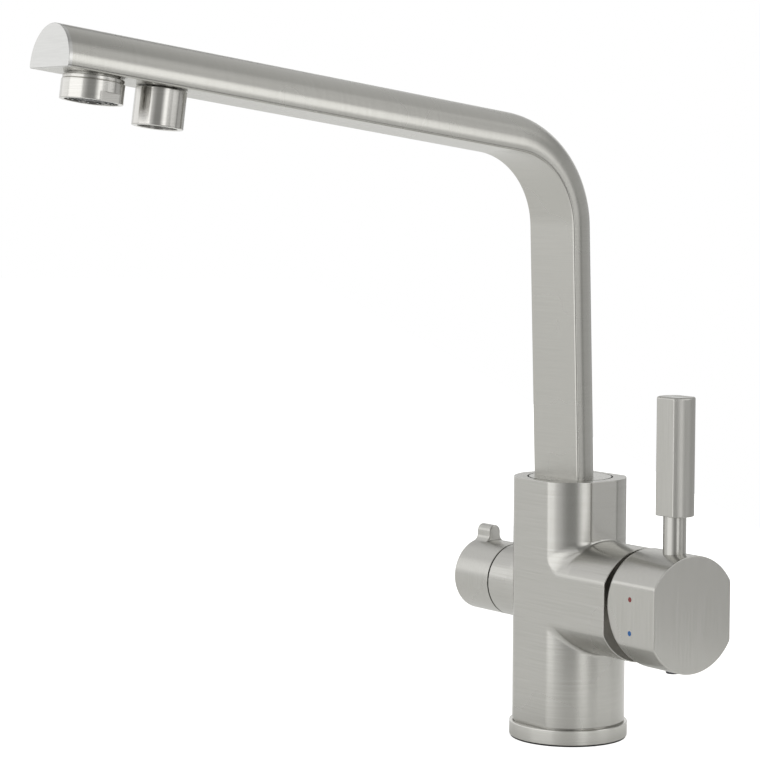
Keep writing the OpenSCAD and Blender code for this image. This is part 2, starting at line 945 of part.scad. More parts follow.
// ring-shaped groove round the spigot
module spigot_groove(z, width, radius) {
    translate([0, 0, z])
        difference() {
            cylinder(h = width, r = spigot_top_r + 1, center = true);
            cylinder(h = width + 1, r = radius, center = true);
        }
}

module spout_upper_oring() {
    color(rubber_black)
        oring_z(upper_oring_z, spigot_top_r - oring_r, oring_r);
}

module spout_lower_oring() {
    color(rubber_black)
        oring_z(lower_oring_z, spigot_top_r - oring_r, oring_r);
}

// brass nipple that leads filtered water from the column into the inner tube
module filter_nipple() {
    color(brass_yellow)
        difference() {
            upright(0, 0, nipple_z + 0.4, nipple_top, nipple_r);
            upright(0, 0, nipple_z - tiny, nipple_top + tiny, nipple_bore_r);
        }
}

module filter_water_tube() {
    color(plastic_white)
        difference() {
            along_spout(6, filter_back)
                translate([tube_depth, 0])
                    difference() {
                        circle(r = nipple_r, $fn = 32);
                        circle(r = nipple_bore_r, $fn = 32);
                    }
            below(nipple_top);
        }
}

module spout_tube() {
    color(satin_nickel)
        difference() {
            along_spout(6, end_plate_h)
                spout_wall_section();
            below(column_h);
            on_arm(aerator_back)
                cylinder(h = 4, r = aerator_boss_r, center = true);
            on_arm(filter_back)
                cylinder(h = 4, r = filter_boss_r, center = true);
        }
}

// plate that closes the tip
module spout_end_plate() {
    color(bright_nickel)
        on_arm(0)
            rotate([90, 0, 0])
                rotate([0, 0, 90])
                    translate([0, 0, -end_plate_h])
                        linear_extrude(height = end_plate_h)
                            spout_section(0);
}

// upright ring on the arm between two drops below its underside
module drop_ring(high, low, radius, bore) {
    difference() {
        translate([0, 0, -low])
            cylinder(h = low - high, r = radius);
        translate([0, 0, -low - tiny])
            cylinder(h = low - high + 2 * tiny, r = bore);
    }
}

module aerator_boss() {
    color(satin_nickel)
        on_arm(aerator_back)
            drop_ring(-spout_wall, aerator_boss_drop, aerator_boss_r, aerator_boss_bore_r);
}

// screwed ring with a lip below and two wrench flats
module aerator_housing() {
    color(bright_nickel)
        on_arm(aerator_back)
            difference() {
                drop_ring(aerator_gap, aerator_drop, aerator_r, aerator_lip_r);
                translate([0, 0, -aerator_lip_drop])
                    cylinder(h = aerator_lip_drop, r = aerator_boss_r);
                for (side = [-1, 1])
                    translate([side * (wrench_flat + aerator_r), 0, -wrench_drop - aerator_r])
                        cube([2 * aerator_r, 3 * aerator_r, 2 * aerator_r], center = true);
            }
}

module aerator_washer() {
    color(rubber_black)
        on_arm(aerator_back)
            drop_ring(aerator_boss_drop, aerator_boss_drop + washer_h, aerator_boss_r, aerator_boss_bore_r);
}

// plastic jet insert with rings of small holes
module aerator_insert() {
    insert_top = aerator_boss_drop + washer_h;
    color(plastic_grey)
        on_arm(aerator_back)
            difference() {
                union() {
                    drop_ring(insert_top, aerator_lip_drop, aerator_boss_r, aerator_boss_bore_r - 1);
                    drop_ring(insert_top, insert_drop, insert_r, insert_r - 1.2);
                    translate([0, 0, -insert_drop + 0.2])
                        cylinder(h = 1, r = insert_r - 1);
                }
                for (ring = [[1, 0], [6, 2.6], [12, 5.4]])
                    for (step = [0:ring[0] - 1])
                        rotate([0, 0, step * 360 / ring[0]])
                            translate([ring[1], 0, -insert_drop - 1])
                                cylinder(h = 3, r = 0.8, $fn = 16);
            }
}

// stub and inner block that take the filtered water from the tube down to its outlet
module filter_outlet_boss() {
    color(brass_yellow)
        on_arm(filter_back)
            difference() {
                translate([0, 0, -filter_boss_drop])
                    cylinder(h = filter_boss_drop + filter_boss_top, r = filter_boss_r);
                translate([0, 0, -filter_boss_drop - tiny])
                    cylinder(h = filter_boss_drop + tube_depth, r = filter_boss_bore_r);
                translate([0, 0, tube_depth])
                    rotate([-90, 0, 0])
                        cylinder(h = 3 * filter_boss_r, r = nipple_r);
            }
}

module filter_outlet_sleeve() {
    color(bright_nickel)
        on_arm(filter_back)
            difference() {
                drop_ring(filter_gap, filter_outlet_drop, filter_outlet_r, filter_boss_r);
                translate([0, 0, -filter_outlet_drop - tiny])
                    cylinder(h = filter_outlet_drop - filter_boss_drop + tiny, r = filter_outlet_r - 1.8);
            }
}

// flow straightener with seven holes
module filter_outlet_insert() {
    low = filter_outlet_drop - straightener_recess;
    color(plastic_grey)
        on_arm(filter_back)
            difference() {
                translate([0, 0, -low])
                    cylinder(h = straightener_h, r = filter_outlet_r - 1.8);
                translate([0, 0, -low - tiny])
                    cylinder(h = straightener_h + 2 * tiny, r = straightener_hole_r, $fn = 24);
                for (turn = [0:60:300])
                    rotate([0, 0, turn])
                        translate([straightener_ring_r, 0, -low - tiny])
                            cylinder(h = straightener_h + 2 * tiny, r = straightener_hole_r, $fn = 24);
            }
}

body_casting();
base_ring();
base_gasket();
swivel_bush();
spout_set_screw();
cartridge_seal();
cartridge_housing();
fixed_ceramic_disc();
cartridge_nut();
cartridge_cover();
headwork_body();
headwork_seal();
valve_fixed_disc();
spout_foot();
spout_upper_oring();
spout_lower_oring();
filter_nipple();
filter_water_tube();
spout_tube();
spout_end_plate();
aerator_boss();
aerator_housing();
aerator_washer();
aerator_insert();
filter_outlet_boss();
filter_outlet_sleeve();
filter_outlet_insert();
cartridge_rotor();
pivot_pin();
moving_ceramic_disc();
disc_carrier();
lever_spindle();
lever_knob();
lever_grub_screw();
screw_plug();
lever_stem();
lever_grip();
hot_marker();
cold_marker();
valve_turning_disc();
valve_spindle();
spindle_oring();
filter_knob();
filter_grub_screw();
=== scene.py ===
import json
from math import acos, atan2, cos, pi, radians, sin, sqrt, tan
from types import SimpleNamespace as Spec

import bpy
import numpy as np
from mathutils import Matrix, Vector


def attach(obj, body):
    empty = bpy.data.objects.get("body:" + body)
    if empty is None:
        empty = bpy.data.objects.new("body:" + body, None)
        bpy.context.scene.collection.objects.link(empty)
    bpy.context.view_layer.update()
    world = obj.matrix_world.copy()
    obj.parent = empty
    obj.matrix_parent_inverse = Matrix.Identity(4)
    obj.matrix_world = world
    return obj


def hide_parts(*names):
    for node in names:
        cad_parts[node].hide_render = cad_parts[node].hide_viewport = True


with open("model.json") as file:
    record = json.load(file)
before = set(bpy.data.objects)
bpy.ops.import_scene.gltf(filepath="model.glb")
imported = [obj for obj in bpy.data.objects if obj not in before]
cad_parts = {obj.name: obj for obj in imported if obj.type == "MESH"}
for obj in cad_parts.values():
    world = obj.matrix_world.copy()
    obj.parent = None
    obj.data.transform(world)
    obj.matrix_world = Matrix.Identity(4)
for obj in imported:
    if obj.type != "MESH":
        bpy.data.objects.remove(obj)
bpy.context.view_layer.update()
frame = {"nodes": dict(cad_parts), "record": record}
nodes = frame["nodes"]
mm = 0.001
axisZ = 65.2  # height of the cross axis of lever and filter knob
alongX, alongY, alongZ = (1, 0, 0), (0, 1, 0), (0, 0, 1)


def linearHex(text):
    # sRGB hex to linear colour with alpha 1
    c = np.array([int(text[i:i + 2], 16) for i in (1, 3, 5)]) / 255
    c = np.where(c <= 0.04045, c / 12.92, ((c + 0.055) / 1.055) ** 2.4)
    return tuple(float(v) for v in c) + (1.0,)


def addNode(tree, kind, settings=None, links=None):
    # settings go to the node's properties or sockets, links bring other nodes' outputs to its sockets
    node = tree.nodes.new(kind)
    for key, value in (settings or {}).items():
        if isinstance(key, str) and hasattr(node, key):
            setattr(node, key, value)
        else:
            node.inputs[key].default_value = value
    for key, (source, socket) in (links or {}).items():
        tree.links.new(source.outputs[socket], node.inputs[key])
    return node


def newMaterial(name):
    # a node material with nothing in it yet
    material = bpy.data.materials.new(name)
    material.use_nodes = True
    material.node_tree.nodes.clear()
    return material, material.node_tree


def surfaceOf(tree, colours, finish, ends, toneFrom, roughFrom, reliefFrom, settings):
    # one shader: between its two end values a pattern runs from dark to light, another from smooth to rough,
    # and a third stands up by 0.02 mm
    tone = addNode(tree, "ShaderNodeValToRGB", None, {"Fac": (toneFrom, "Fac")})
    for stop, end, colour in zip(tone.color_ramp.elements, ends, colours):
        stop.position = end
        stop.color = linearHex(colour)
    low, high = finish["roughness"]
    rough = addNode(tree, "ShaderNodeMapRange",
                    {"From Min": ends[0], "From Max": ends[1], "To Min": low, "To Max": high},
                    {"Value": (roughFrom, "Fac")})
    relief = addNode(tree, "ShaderNodeBump", {"Strength": finish["relief"], "Distance": 0.02 * mm},
                     {"Height": (reliefFrom, "Fac")})
    shader = addNode(tree, "ShaderNodeBsdfPrincipled", settings,
                     {"Base Color": (tone, "Color"), "Roughness": (rough, "Result"),
                      "Normal": (relief, "Normal")})
    addNode(tree, "ShaderNodeOutputMaterial", None, {"Surface": (shader, "BSDF")})
    return shader


def brushedMetal(name, dark, light, lineAxis="z", lineMm=0.5, strokeMm=30, cloudMm=60, drawnOut=0.0,
                 alongPath=False, **finish):
    # fine brush lines: noise that is short across the lines and long along them; wide clouds vary the gloss
    material, tree = newMaterial(name)
    place = addNode(tree, "ShaderNodeTexCoord")
    across, along = 1 / (lineMm * mm), 1 / (strokeMm * mm)
    scale = [across if axis in lineAxis else along for axis in "xyz"]
    grid = addNode(tree, "ShaderNodeMapping", {"Scale": scale},
                   {"Vector": (place, "UV" if alongPath else "Object")})
    lines = addNode(tree, "ShaderNodeTexNoise", {"Scale": 1.0, "Detail": 3.0, "Roughness": 0.6},
                    {"Vector": (grid, "Vector")})
    grid = addNode(tree, "ShaderNodeMapping", {"Scale": [1 / (cloudMm * mm)] * 3},
                   {"Vector": (place, "Object")})
    clouds = addNode(tree, "ShaderNodeTexNoise", {"Scale": 1.0, "Detail": 2.0}, {"Vector": (grid, "Vector")})
    shader = surfaceOf(tree, (dark, light), finish, (0.25, 0.75), lines, clouds, lines,
                       {"Metallic": 1.0, "Anisotropic": drawnOut})
    if drawnOut:
        stretch = addNode(tree, "ShaderNodeAttribute", {"attribute_name": "stretch"})
        tree.links.new(stretch.outputs["Vector"], shader.inputs["Tangent"])
    return material


def mouldedSolid(name, dark, light, grainMm, ior, paleWhere=None, **finish):
    # even colour with a fine moulded or ground grain; an attribute of the piece may say where it is pale
    material, tree = newMaterial(name)
    place = addNode(tree, "ShaderNodeTexCoord")
    grid = addNode(tree, "ShaderNodeMapping", {"Scale": [1 / (grainMm * mm)] * 3},
                   {"Vector": (place, "Object")})
    grain = addNode(tree, "ShaderNodeTexNoise", {"Scale": 1.0, "Detail": 3.0}, {"Vector": (grid, "Vector")})
    toneFrom = grain
    if paleWhere:
        toneFrom = addNode(tree, "ShaderNodeAttribute", {"attribute_name": paleWhere})
    surfaceOf(tree, (dark, light), finish, (0.3, 0.7), toneFrom, grain, grain, {"IOR": ior})
    return material


# satin nickel plate on brass, brushed by a belt: soft highlights, drawn out across the lines;
# real lines are about 0.1 mm apart, drawn coarser to show
satinBody = brushedMetal(  # lines run round the column
    "satinNickelColumn", "#b2b1ac", "#bcbbb7", roughness=(0.25, 0.29), relief=0.17, drawnOut=0.75)
# the base ring's copy of the plate is painted lighter than the column's: painted light for the brighter
# highlights the ring shows
satinRingPaintedLight = brushedMetal(
    "satinNickelRingPaintedLight", "#c8c7c2", "#d4d3cf", roughness=(0.24, 0.27), relief=0.2, drawnOut=0.9)
satinGrip = brushedMetal(  # lines run along the grip
    "satinNickelGrip", "#b2b1ac", "#bcbbb7", roughness=(0.29, 0.33), relief=0.15, drawnOut=0.7,
    lineAxis="xy", strokeMm=20)
satinSpout = brushedMetal(  # lines run across the spout's path
    "satinNickelSpout", "#b4b3ae", "#bbbab5", roughness=(0.25, 0.29), relief=0.08, drawnOut=0.75,
    lineAxis="x", alongPath=True)
satinCross = brushedMetal(  # lines run upright
    "satinNickelKnobs", "#b2b1ac", "#bbbab6", roughness=(0.25, 0.29), relief=0.14, drawnOut=0.7,
    lineAxis="xy", lineMm=0.6, strokeMm=25)
tipNickel = brushedMetal(
    "satinNickelTipPlate", "#bebebc", "#c8c8c6", roughness=(0.26, 0.3), relief=0.15, drawnOut=0.6,
    strokeMm=12)
plainNickel = brushedMetal(
    "satinNickelTurned", "#b5b4af", "#bfbeba", roughness=(0.25, 0.3), relief=0.2, cloudMm=14)
# the same plate, polished finer on the turned outlets, with crisper bands, and left dull inside the cup,
# where its copy is painted a little darker and warmer as painted shade
brightTurned = brushedMetal(
    "brightNickelTurned", "#c0beba", "#cac9c5", roughness=(0.19, 0.22), relief=0.15, drawnOut=0.7,
    lineMm=0.4, strokeMm=20)
cupShadeNickel = brushedMetal(
    "shadedNickelCup", "#b0ada6", "#bab7b1", roughness=(0.42, 0.5), relief=0.2,
    lineAxis="x", lineMm=0.4, strokeMm=10, cloudMm=8)
# brass and steel as the lathe leaves them, with fine rings, and steel blackened in a hot bath, dark and dull
turnedBrass = brushedMetal(
    "turnedBrass", "#b08d4a", "#c09c55", roughness=(0.26, 0.34), relief=0.2,
    lineAxis="x", lineMm=0.4, strokeMm=15, cloudMm=8)
plainSteel = brushedMetal(
    "plainSteel", "#84858a", "#8f9094", roughness=(0.3, 0.38), relief=0.2,
    lineMm=0.3, strokeMm=6, cloudMm=5)
darkSteel = brushedMetal(
    "blackenedSteel", "#4c4c4e", "#58585a", roughness=(0.34, 0.4), relief=0.2,
    lineMm=0.3, strokeMm=6, cloudMm=5)
# pressed rubber, matt and black, and injection-moulded plastic, with the faint grain of their moulds
blackRubber = mouldedSolid(
    "nitrileRubber", "#141414", "#1c1c1b", roughness=(0.65, 0.8), relief=0.3, grainMm=0.4, ior=1.52)
whiteAcetal = mouldedSolid(
    "whiteAcetal", "#d9dadb", "#e2e3e3", roughness=(0.35, 0.45), relief=0.15, grainMm=0.6, ior=1.48)
greyAcetal = mouldedSolid(
    "greyAcetal", "#4a4b4d", "#565759", roughness=(0.35, 0.45), relief=0.2, grainMm=0.5, ior=1.48)
# the aerator insert's pegs are painted pale: a painted glint where light catches them on the dark plastic
glintPegAcetal = mouldedSolid(
    "greyAcetalPaintedGlintPegs", "#3a3b3c", "#d4d5d4", roughness=(0.35, 0.45), relief=0.2, grainMm=0.5, ior=1.48,
    paleWhere="pale")
# ceramic ground flat with fine grit, pale with an even sheen, and glossy enamel filled into the markers
lappedCeramic = mouldedSolid(
    "lappedAlumina", "#e6e3da", "#efece4", roughness=(0.2, 0.28), relief=0.1, grainMm=0.3, ior=1.76)
redEnamel = mouldedSolid(
    "redEnamel", "#8a2f2c", "#9a3936", roughness=(0.25, 0.32), relief=0.1, grainMm=0.3, ior=1.5)
blueEnamel = mouldedSolid(
    "blueEnamel", "#155fa6", "#1f6fb8", roughness=(0.25, 0.32), relief=0.1, grainMm=0.3, ior=1.5)
print("materials made")


def unit(vectors):
    # each vector at length 1
    return vectors / np.maximum(np.linalg.norm(vectors, axis=-1), 1e-9)[..., None]


def gridFaces(rows, columns, closeRows=False, closeColumns=False):
    # quads between neighbouring points of a rows x columns grid, closed round where asked
    i = np.arange(rows if closeRows else rows - 1)[:, None]
    j = np.arange(columns if closeColumns else columns - 1)[None, :]
    a, b = i * columns + j, ((i + 1) % rows) * columns + j
    c, d = ((i + 1) % rows) * columns + (j + 1) % columns, i * columns + (j + 1) % columns
    return np.stack([a, b, c, d], -1).reshape(-1, 4)


def endCaps(rows, columns):
    # flat faces that close the first and last row of a grid, turned the same way as its quads
    return [np.arange(columns), (rows - 1) * columns + np.arange(columns)[::-1]]


def outward(points, faces, caps):
    # the signed volume tells which way the faces look, and they are turned round where it is negative
    a, b, c, d = (points[faces[:, i]] for i in range(4))
    volume = (a * np.cross(b, c)).sum() + (a * np.cross(c, d)).sum()
    for cap in caps:
        volume += (points[cap[:1]] * np.cross(points[cap[1:-1]], points[cap[2:]])).sum()
    return (faces, caps) if volume > 0 else (faces[:, ::-1], [cap[::-1] for cap in caps])


def addPiece(name, points, faces, body, node, slotName, material, normals=None, uv=None, caps=(),
             stretch=None):
    # a mesh from points in mm, with its own normals or else smooth ones that stop at sharp edges
    mesh = bpy.data.meshes.new(name)
    points = np.asarray(points).reshape(-1, 3)
    faces, caps = outward(points, faces, caps)
    mesh.from_pydata((points * mm).tolist(), [], faces.tolist() + [cap.tolist() for cap in caps])
    mesh.polygons.foreach_set("use_smooth", np.ones(len(mesh.polygons), bool))
    mesh.materials.append(material)
    if uv is not None:
        layer = mesh.uv_layers.new(name="path")
        corner = np.zeros(len(mesh.loops), np.int32)
        mesh.loops.foreach_get("vertex_index", corner)
        layer.data.foreach_set("uv", (uv.reshape(-1, 2)[corner] * mm).astype(np.float32).ravel())
    if stretch is not None:  # direction across the brush lines, along which highlights are drawn out
        field = mesh.attributes.new("stretch", "FLOAT_VECTOR", "POINT")
        field.data.foreach_set("vector", stretch.reshape(-1, 3).astype(np.float32).ravel())
    mesh.update()
    piece = bpy.data.objects.new(name, mesh)
    bpy.context.scene.collection.objects.link(piece)
    if normals is not None:
        mesh.normals_split_custom_set_from_vertices(normals.tolist())
    else:
        mesh.set_sharp_from_angle(angle=radians(35))  # flat ends keep their own normals
        even = piece.modifiers.new("evenNormals", "WEIGHTED_NORMAL")
        even.keep_sharp = True
    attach(piece, body)
    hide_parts(node)
    print("piece", name, len(mesh.polygons), "faces")
    return piece


def addRows(name, points, body, node, slotName, material, **extra):
    # rows of points, each closed round, with a flat cap at both ends
    size = points.shape[:2]
    faces = gridFaces(*size, False, True)
    return addPiece(name, points, faces, body, node, slotName, material, caps=endCaps(*size), **extra)


def roundedLoop(corners, radii, steps=7):
    # every corner of a closed outline becomes an arc that touches both of its sides
    p = np.array(corners, float)
    back, ahead = np.roll(p, 1, 0) - p, np.roll(p, -1, 0) - p
    shortest = np.minimum(np.linalg.norm(back, axis=1), np.linalg.norm(ahead, axis=1))
    back, ahead = unit(back), unit(ahead)
    half = np.arccos(np.clip((back * ahead).sum(1), -1, 1)) / 2
    straight = half > pi / 2 - 1e-4  # a point on a straight side only gets neighbours
    half = np.where(straight, pi / 4, half)
    cut = np.minimum(np.array(radii, float) / np.tan(half), 0.48 * shortest)
    middle = unit(np.where(straight[:, None], 1.0, back + ahead))
    centre = p + np.where(straight[:, None], 0.0, middle * (cut * np.tan(half) / np.sin(half))[:, None])
    first, last = p + back * cut[:, None] - centre, p + ahead * cut[:, None] - centre
    turn = (pi - 2 * half)[:, None, None]
    t = np.linspace(0, 1, steps)[None, :, None]
    level = straight[:, None, None]
    before = np.where(level, 1 - t, np.sin((1 - t) * turn) / np.sin(turn))
    after = np.where(level, t, np.sin(t * turn) / np.sin(turn))
    return (centre[:, None] + first[:, None] * before + last[:, None] * after).reshape(-1, 2)


def turnedPoints(profile, origin, axis, around, radiusOf=None):
    # a profile of (radius, height) points turned about an axis through origin
    w = unit(np.array(axis, float))
    u = np.cross(w, alongZ) if abs(w[2]) < 0.9 else np.array(alongX, float)
    u = unit(u - w * np.dot(u, w))
    v = np.cross(w, u)
    angle = np.linspace(0, 2 * pi, around, endpoint=False)
    radius = np.repeat(profile[:, :1], around, 1)
    if radiusOf is not None:
        radius = radiusOf(radius, profile[:, 1:], angle[None, :])
    ring = np.cos(angle)[:, None] * u + np.sin(angle)[:, None] * v
    return np.array(origin) + radius[..., None] * ring[None] + profile[:, 1][:, None, None] * w


def addTurned(name, corners, radii, origin, axis, around, body, node, slotName, material, radiusOf=None):
    # ring-shaped piece: a closed outline of (radius, height) carried round the axis
    profile = roundedLoop(corners, radii)
    points = turnedPoints(profile, origin, axis, around, radiusOf)
    faces = gridFaces(len(profile), around, True, True)
    stretch = unit(np.roll(points, -1, 0) - np.roll(points, 1, 0))
    addPiece(name, points, faces, body, node, slotName, material, stretch=stretch)


def addPin(name, pin, origin, axis, node, slotName, material):
    # round bar on the lever from low to high along the axis, both rims rounded, closed by flat caps
    r, low, high = pin.r, pin.low, pin.high
    profile = roundedLoop([(0, low), (r, low), (r, high), (0, high)], [0.01, pin.lowEdge, pin.highEdge, 0.01])
    profile = np.roll(profile, -int(np.argmax(profile[:, 0] <= 1e-6)), 0)
    profile = profile[profile[:, 0] > 1e-6]
    points = turnedPoints(profile, origin, axis, pin.around)
    addRows(name, points, "lever", node, slotName, material, stretch=unit(np.gradient(points, axis=0)))


def lying(direction, normals, spare):
    # a direction laid flat on the surface, or the spare one where it stands upright on it
    flat = np.array(direction, float) - normals * (normals @ np.array(direction, float))[:, None]
    other = np.array(spare, float) - normals * (normals @ np.array(spare, float))[:, None]
    size = np.linalg.norm(flat, axis=1)[:, None]
    return unit(flat + other * np.clip(0.35 - size, 0, 1))


def ramp(value, start, length):
    # 0 up to the start, then rising to 1 over the length
    return np.clip((value - start) / length, 0, 1)


def roundUnion(a, b, r):
    # two solids joined, the valley between them filled by a fillet of radius r
    return np.maximum(r, np.minimum(a, b)) - np.hypot(np.maximum(r - a, 0), np.maximum(r - b, 0))


def roundCut(a, b, r):
    # the common part of two solids, its edge rounded to radius r
    return np.minimum(-r, np.maximum(a, b)) + np.hypot(np.maximum(r + a, 0), np.maximum(r + b, 0))


def gradedAxis(low, high, step, spots=(), fineStep=1.0, reach=1.0, ranges=(), samples=6000):
    # positions along an axis, closer together near the given spots and inside the given ranges
    t = np.linspace(low, high, samples)
    density = np.full_like(t, 1 / step)
    for start, end, inner in ranges:
        density[(t > start) & (t < end)] = 1 / inner
    for spot in spots:
        density = np.maximum(density, np.exp(-((t - spot) / reach) ** 2) / fineStep)
    total = np.concatenate([[0], np.cumsum((density[1:] + density[:-1]) / 2 * np.diff(t))])
    return np.interp(np.linspace(0, total[-1], int(round(total[-1])) + 1), total, t)


def slopeOf(distance, points, h=0.02):
    # direction in which a distance formula grows, by central differences
    x, y, z = points.T
    return np.stack([distance(x + h, y, z) - distance(x - h, y, z),
                     distance(x, y + h, z) - distance(x, y - h, z),
                     distance(x, y, z + h) - distance(x, y, z - h)], -1) / (2 * h)


def drawnOnto(distance, points, rounds, heldAxis=None):
    # points moved along the slope until the distance formula is zero, one axis held where asked,
    # and their normals
    for _ in range(rounds):
        slope = slopeOf(distance, points)
        if heldAxis is not None:
            slope[:, heldAxis] = 0
        steepness = np.maximum((slope ** 2).sum(1), 0.2)
        points = points - slope * (distance(*points.T) / steepness)[:, None]
    return points, unit(slopeOf(distance, points))


def skinOf(distance, *grids):
    # surface where a distance formula is zero: one point in each grid cell that the surface crosses, the mean
    # of its edge crossings, drawn onto the surface along the slope, and a quad round each crossed edge
    xs, ys, zs = grids
    value = distance(xs[:, None, None], ys[None, :, None], zs[None, None, :]).astype(np.float32)
    inside = value < 0
    cells = tuple(n - 1 for n in value.shape)
    total = np.zeros(cells + (3,), np.float32)
    count = np.zeros(cells, np.int32)
    crossed = []
    for axis, grid in enumerate(grids):
        low = tuple(slice(None, -1) if k == axis else slice(None) for k in range(3))
        high = tuple(slice(1, None) if k == axis else slice(None) for k in range(3))
        where = np.argwhere(inside[low] != inside[high])
        spot = tuple(where.T)
        start, end = value[low][spot], value[high][spot]
        point = np.stack([grids[k][where[:, k]] for k in range(3)], -1)
        point[:, axis] += start / (start - end) * (grid[where[:, axis] + 1] - grid[where[:, axis]])
        first, second = [k for k in range(3) if k != axis]
        around = []
        for firstBack, secondBack in ((0, 0), (0, 1), (1, 0), (1, 1)):
            cell = where.copy()
            cell[:, first] -= firstBack
            cell[:, second] -= secondBack
            np.add.at(total, tuple(cell.T), point)
            np.add.at(count, tuple(cell.T), 1)
            around.append(tuple(cell.T))
        crossed.append((axis, inside[low][spot], around))
    used = count > 0
    number = np.full(cells, -1, np.int64)
    number[used] = np.arange(used.sum())
    quads = []
    for axis, startsInside, around in crossed:
        quad = np.stack([number[around[k]] for k in (0, 2, 3, 1)], -1)
        turned = startsInside == (axis == 1)
        quad[turned] = quad[turned][:, ::-1]
        quads.append(quad)
    points, normals = drawnOnto(distance, (total[used] / count[used][:, None]).astype(float), 4)
    return points, np.concatenate(quads), normals


def addKnob(name, distance, sizes, psi, phi, start, body, node):
    # closed surface seen from a point on the cross axis: along each direction the distance formula is solved
    # by halving; psi counts from the x axis and may differ with phi, phi runs round it from the start axis
    pole, start, centre = (np.array(v, float) for v in (alongX, start, (sizes.centre, 0, axisZ)))
    aside = np.cos(phi)[None, :, None] * start + np.sin(phi)[None, :, None] * np.cross(pole, start)
    direction = np.cos(psi)[..., None] * pole + np.sin(psi)[..., None] * aside
    low, high = np.zeros(psi.shape), np.full(psi.shape, sizes.reach)
    for _ in range(42):
        middle = (low + high) / 2
        isIn = distance(*np.moveaxis(centre + direction * middle[..., None], -1, 0)) < 0
        low, high = np.where(isIn, middle, low), np.where(isIn, high, middle)
    points = centre + direction * ((low + high) / 2)[..., None]
    normals = unit(slopeOf(distance, points.reshape(-1, 3)))
    addRows(name, points, body, node, "satin_nickel", satinCross, normals=normals,
            stretch=lying(alongX, normals, alongZ))


casting = Spec(columnR=24.95, sideHalf=23.9, flatHalf=22.2, branchR=24.8, neckR=16.35, top=116.3, foot=7.8,
               ringTop=7.2, rim=49.0, neckEnd=-37.45, flatEdge=0.5, sideEdge=0.35, neckEdge=0.14,
               endEdge=0.28, footEdge=0.25, topEdge=0.3, cupWall=0.8, cupFloor=40.6, lip=0.38, seatDepth=0.8,
               spigotR=19.5, spigotStep=0.55, spigotTop=15.9, coreInset=0.5, coreTop=16.0, wallRing=20.0,
               recessR=18.95, recess=111.3, recessEdge=0.1,
               boreR=13.55, boreFloor=90.3, screwR=2.5, screwZ=101.9, screwStart=5.0,
               roomR=19.2, roomStart=34.0, seatR=17.5, seatStart=12.0,
               valveR=13.0, valveEnd=-30.6, inletR=9.6, inletEnd=-12.0,
               hoseR=4.5, hoseDepth=12.0, hoses=((6.0, 9.0), (6.0, -9.0), (-11.0, 0.0)),
               studR=2.5, studDepth=14.0, studs=((-6.0, 13.5), (-6.0, -13.5)),
               cupSeam=39.8, lowSeam=37.6, highSeam=106.0)  # the skin is made in parts that meet at the seams
fillets = Spec(upper=4.0, lower=1.5, neck=0.3, least=0.001,
               leverStart=4.0, leverGrow=6.0, levelStart=-4.0, levelGrow=8.0, neckGrow=8.0,
               flatShare=0.14, flatReach=6.0, flatGrow=8.0)  # hardly any fillet at the foot of the side flat


def bodyDistance(x, y, z):
    # round column with flats, round branch and neck across it, less the rooms inside
    h = z - axisZ
    column = np.hypot(x, y) - casting.columnR
    sided = roundCut(column, np.abs(x) - casting.sideHalf, casting.sideEdge)
    column = np.where(z > axisZ, sided, column)
    across = np.hypot(y, h)
    share = ramp(np.abs(y), fillets.flatReach, fillets.flatGrow)
    upper = fillets.upper * (fillets.flatShare + (1 - fillets.flatShare) * share)
    level = ramp(h, fillets.levelStart, fillets.levelGrow)
    fillet = fillets.lower + (upper - fillets.lower) * level
    fillet = ramp(x, fillets.leverStart, fillets.leverGrow) * fillet + fillets.least
    shape = roundUnion(column, np.maximum(across - casting.branchR, -x), fillet)
    fillet = fillets.neck * ramp(-x, 0, fillets.neckGrow) + fillets.least
    shape = roundUnion(shape, np.maximum(across - casting.neckR, x), fillet)
    shape = roundCut(shape, np.abs(y) - casting.flatHalf, casting.flatEdge)
    shape = roundCut(shape, casting.neckEnd - x, casting.neckEdge)
    rooms = [np.maximum(np.hypot(x, y) - casting.boreR, casting.boreFloor - z),
             np.maximum(np.hypot(x, z - casting.screwZ) - casting.screwR, casting.screwStart - y),
             np.maximum(across - casting.roomR, casting.roomStart - x),
             np.maximum(across - casting.seatR, casting.seatStart - x),
             np.maximum(across - casting.valveR, x - casting.valveEnd),
             np.maximum(across - casting.inletR, x - casting.inletEnd)]
    for room in rooms:
        shape = np.maximum(shape, -room)
    return shape


def bodyPart(cuts, grids):
    # the part of the body inside some cutting planes as a closed skin; its points along a plane are drawn
    # onto the outer form, so that neighbouring parts meet there and share their normals
    def part(x, y, z):
        value = bodyDistance(x, y, z)
        for axis, side, place in cuts:
            value = np.maximum(value, side * ((x, y, z)[axis] - place))
        return value

    steps = []
    for axis, side, place in cuts:
        grid = grids[axis]
        i = int(np.searchsorted(grid, place)) - 1
        steps.append(grid[i + 1] - grid[i])
        grid[i], grid[i + 1] = place - steps[-1] / 2, place + steps[-1] / 2
    points, quads, normals = skinOf(part, *grids)
    for (axis, side, place), step in zip(cuts, steps):
        edge = (np.abs(points[:, axis] - place) < 0.7 * step) & (np.abs(bodyDistance(*points.T)) < 0.4)
        seam = points[edge]
        seam[:, axis] = place
        points[edge], normals[edge] = drawnOnto(bodyDistance, seam, 5, axis)
    return points, quads, normals, ()


def flattedRadius(angle, inset, r, side=None):
    # a circle with the body's flats: its radius in each direction, found by halving where it lies inset deep
    low, high = np.full(len(angle), 0.7 * r), np.full(len(angle), r + 1.0)
    for _ in range(40):
        middle = (low + high) / 2
        value = middle - r
        if side:
            value = roundCut(value, np.abs(middle * np.cos(angle)) - side, casting.sideEdge)
        value = roundCut(value, np.abs(middle * np.sin(angle)) - casting.flatHalf, casting.flatEdge)
        low, high = np.where(value < -inset, middle, low), np.where(value < -inset, high, middle)
    return (low + high) / 2


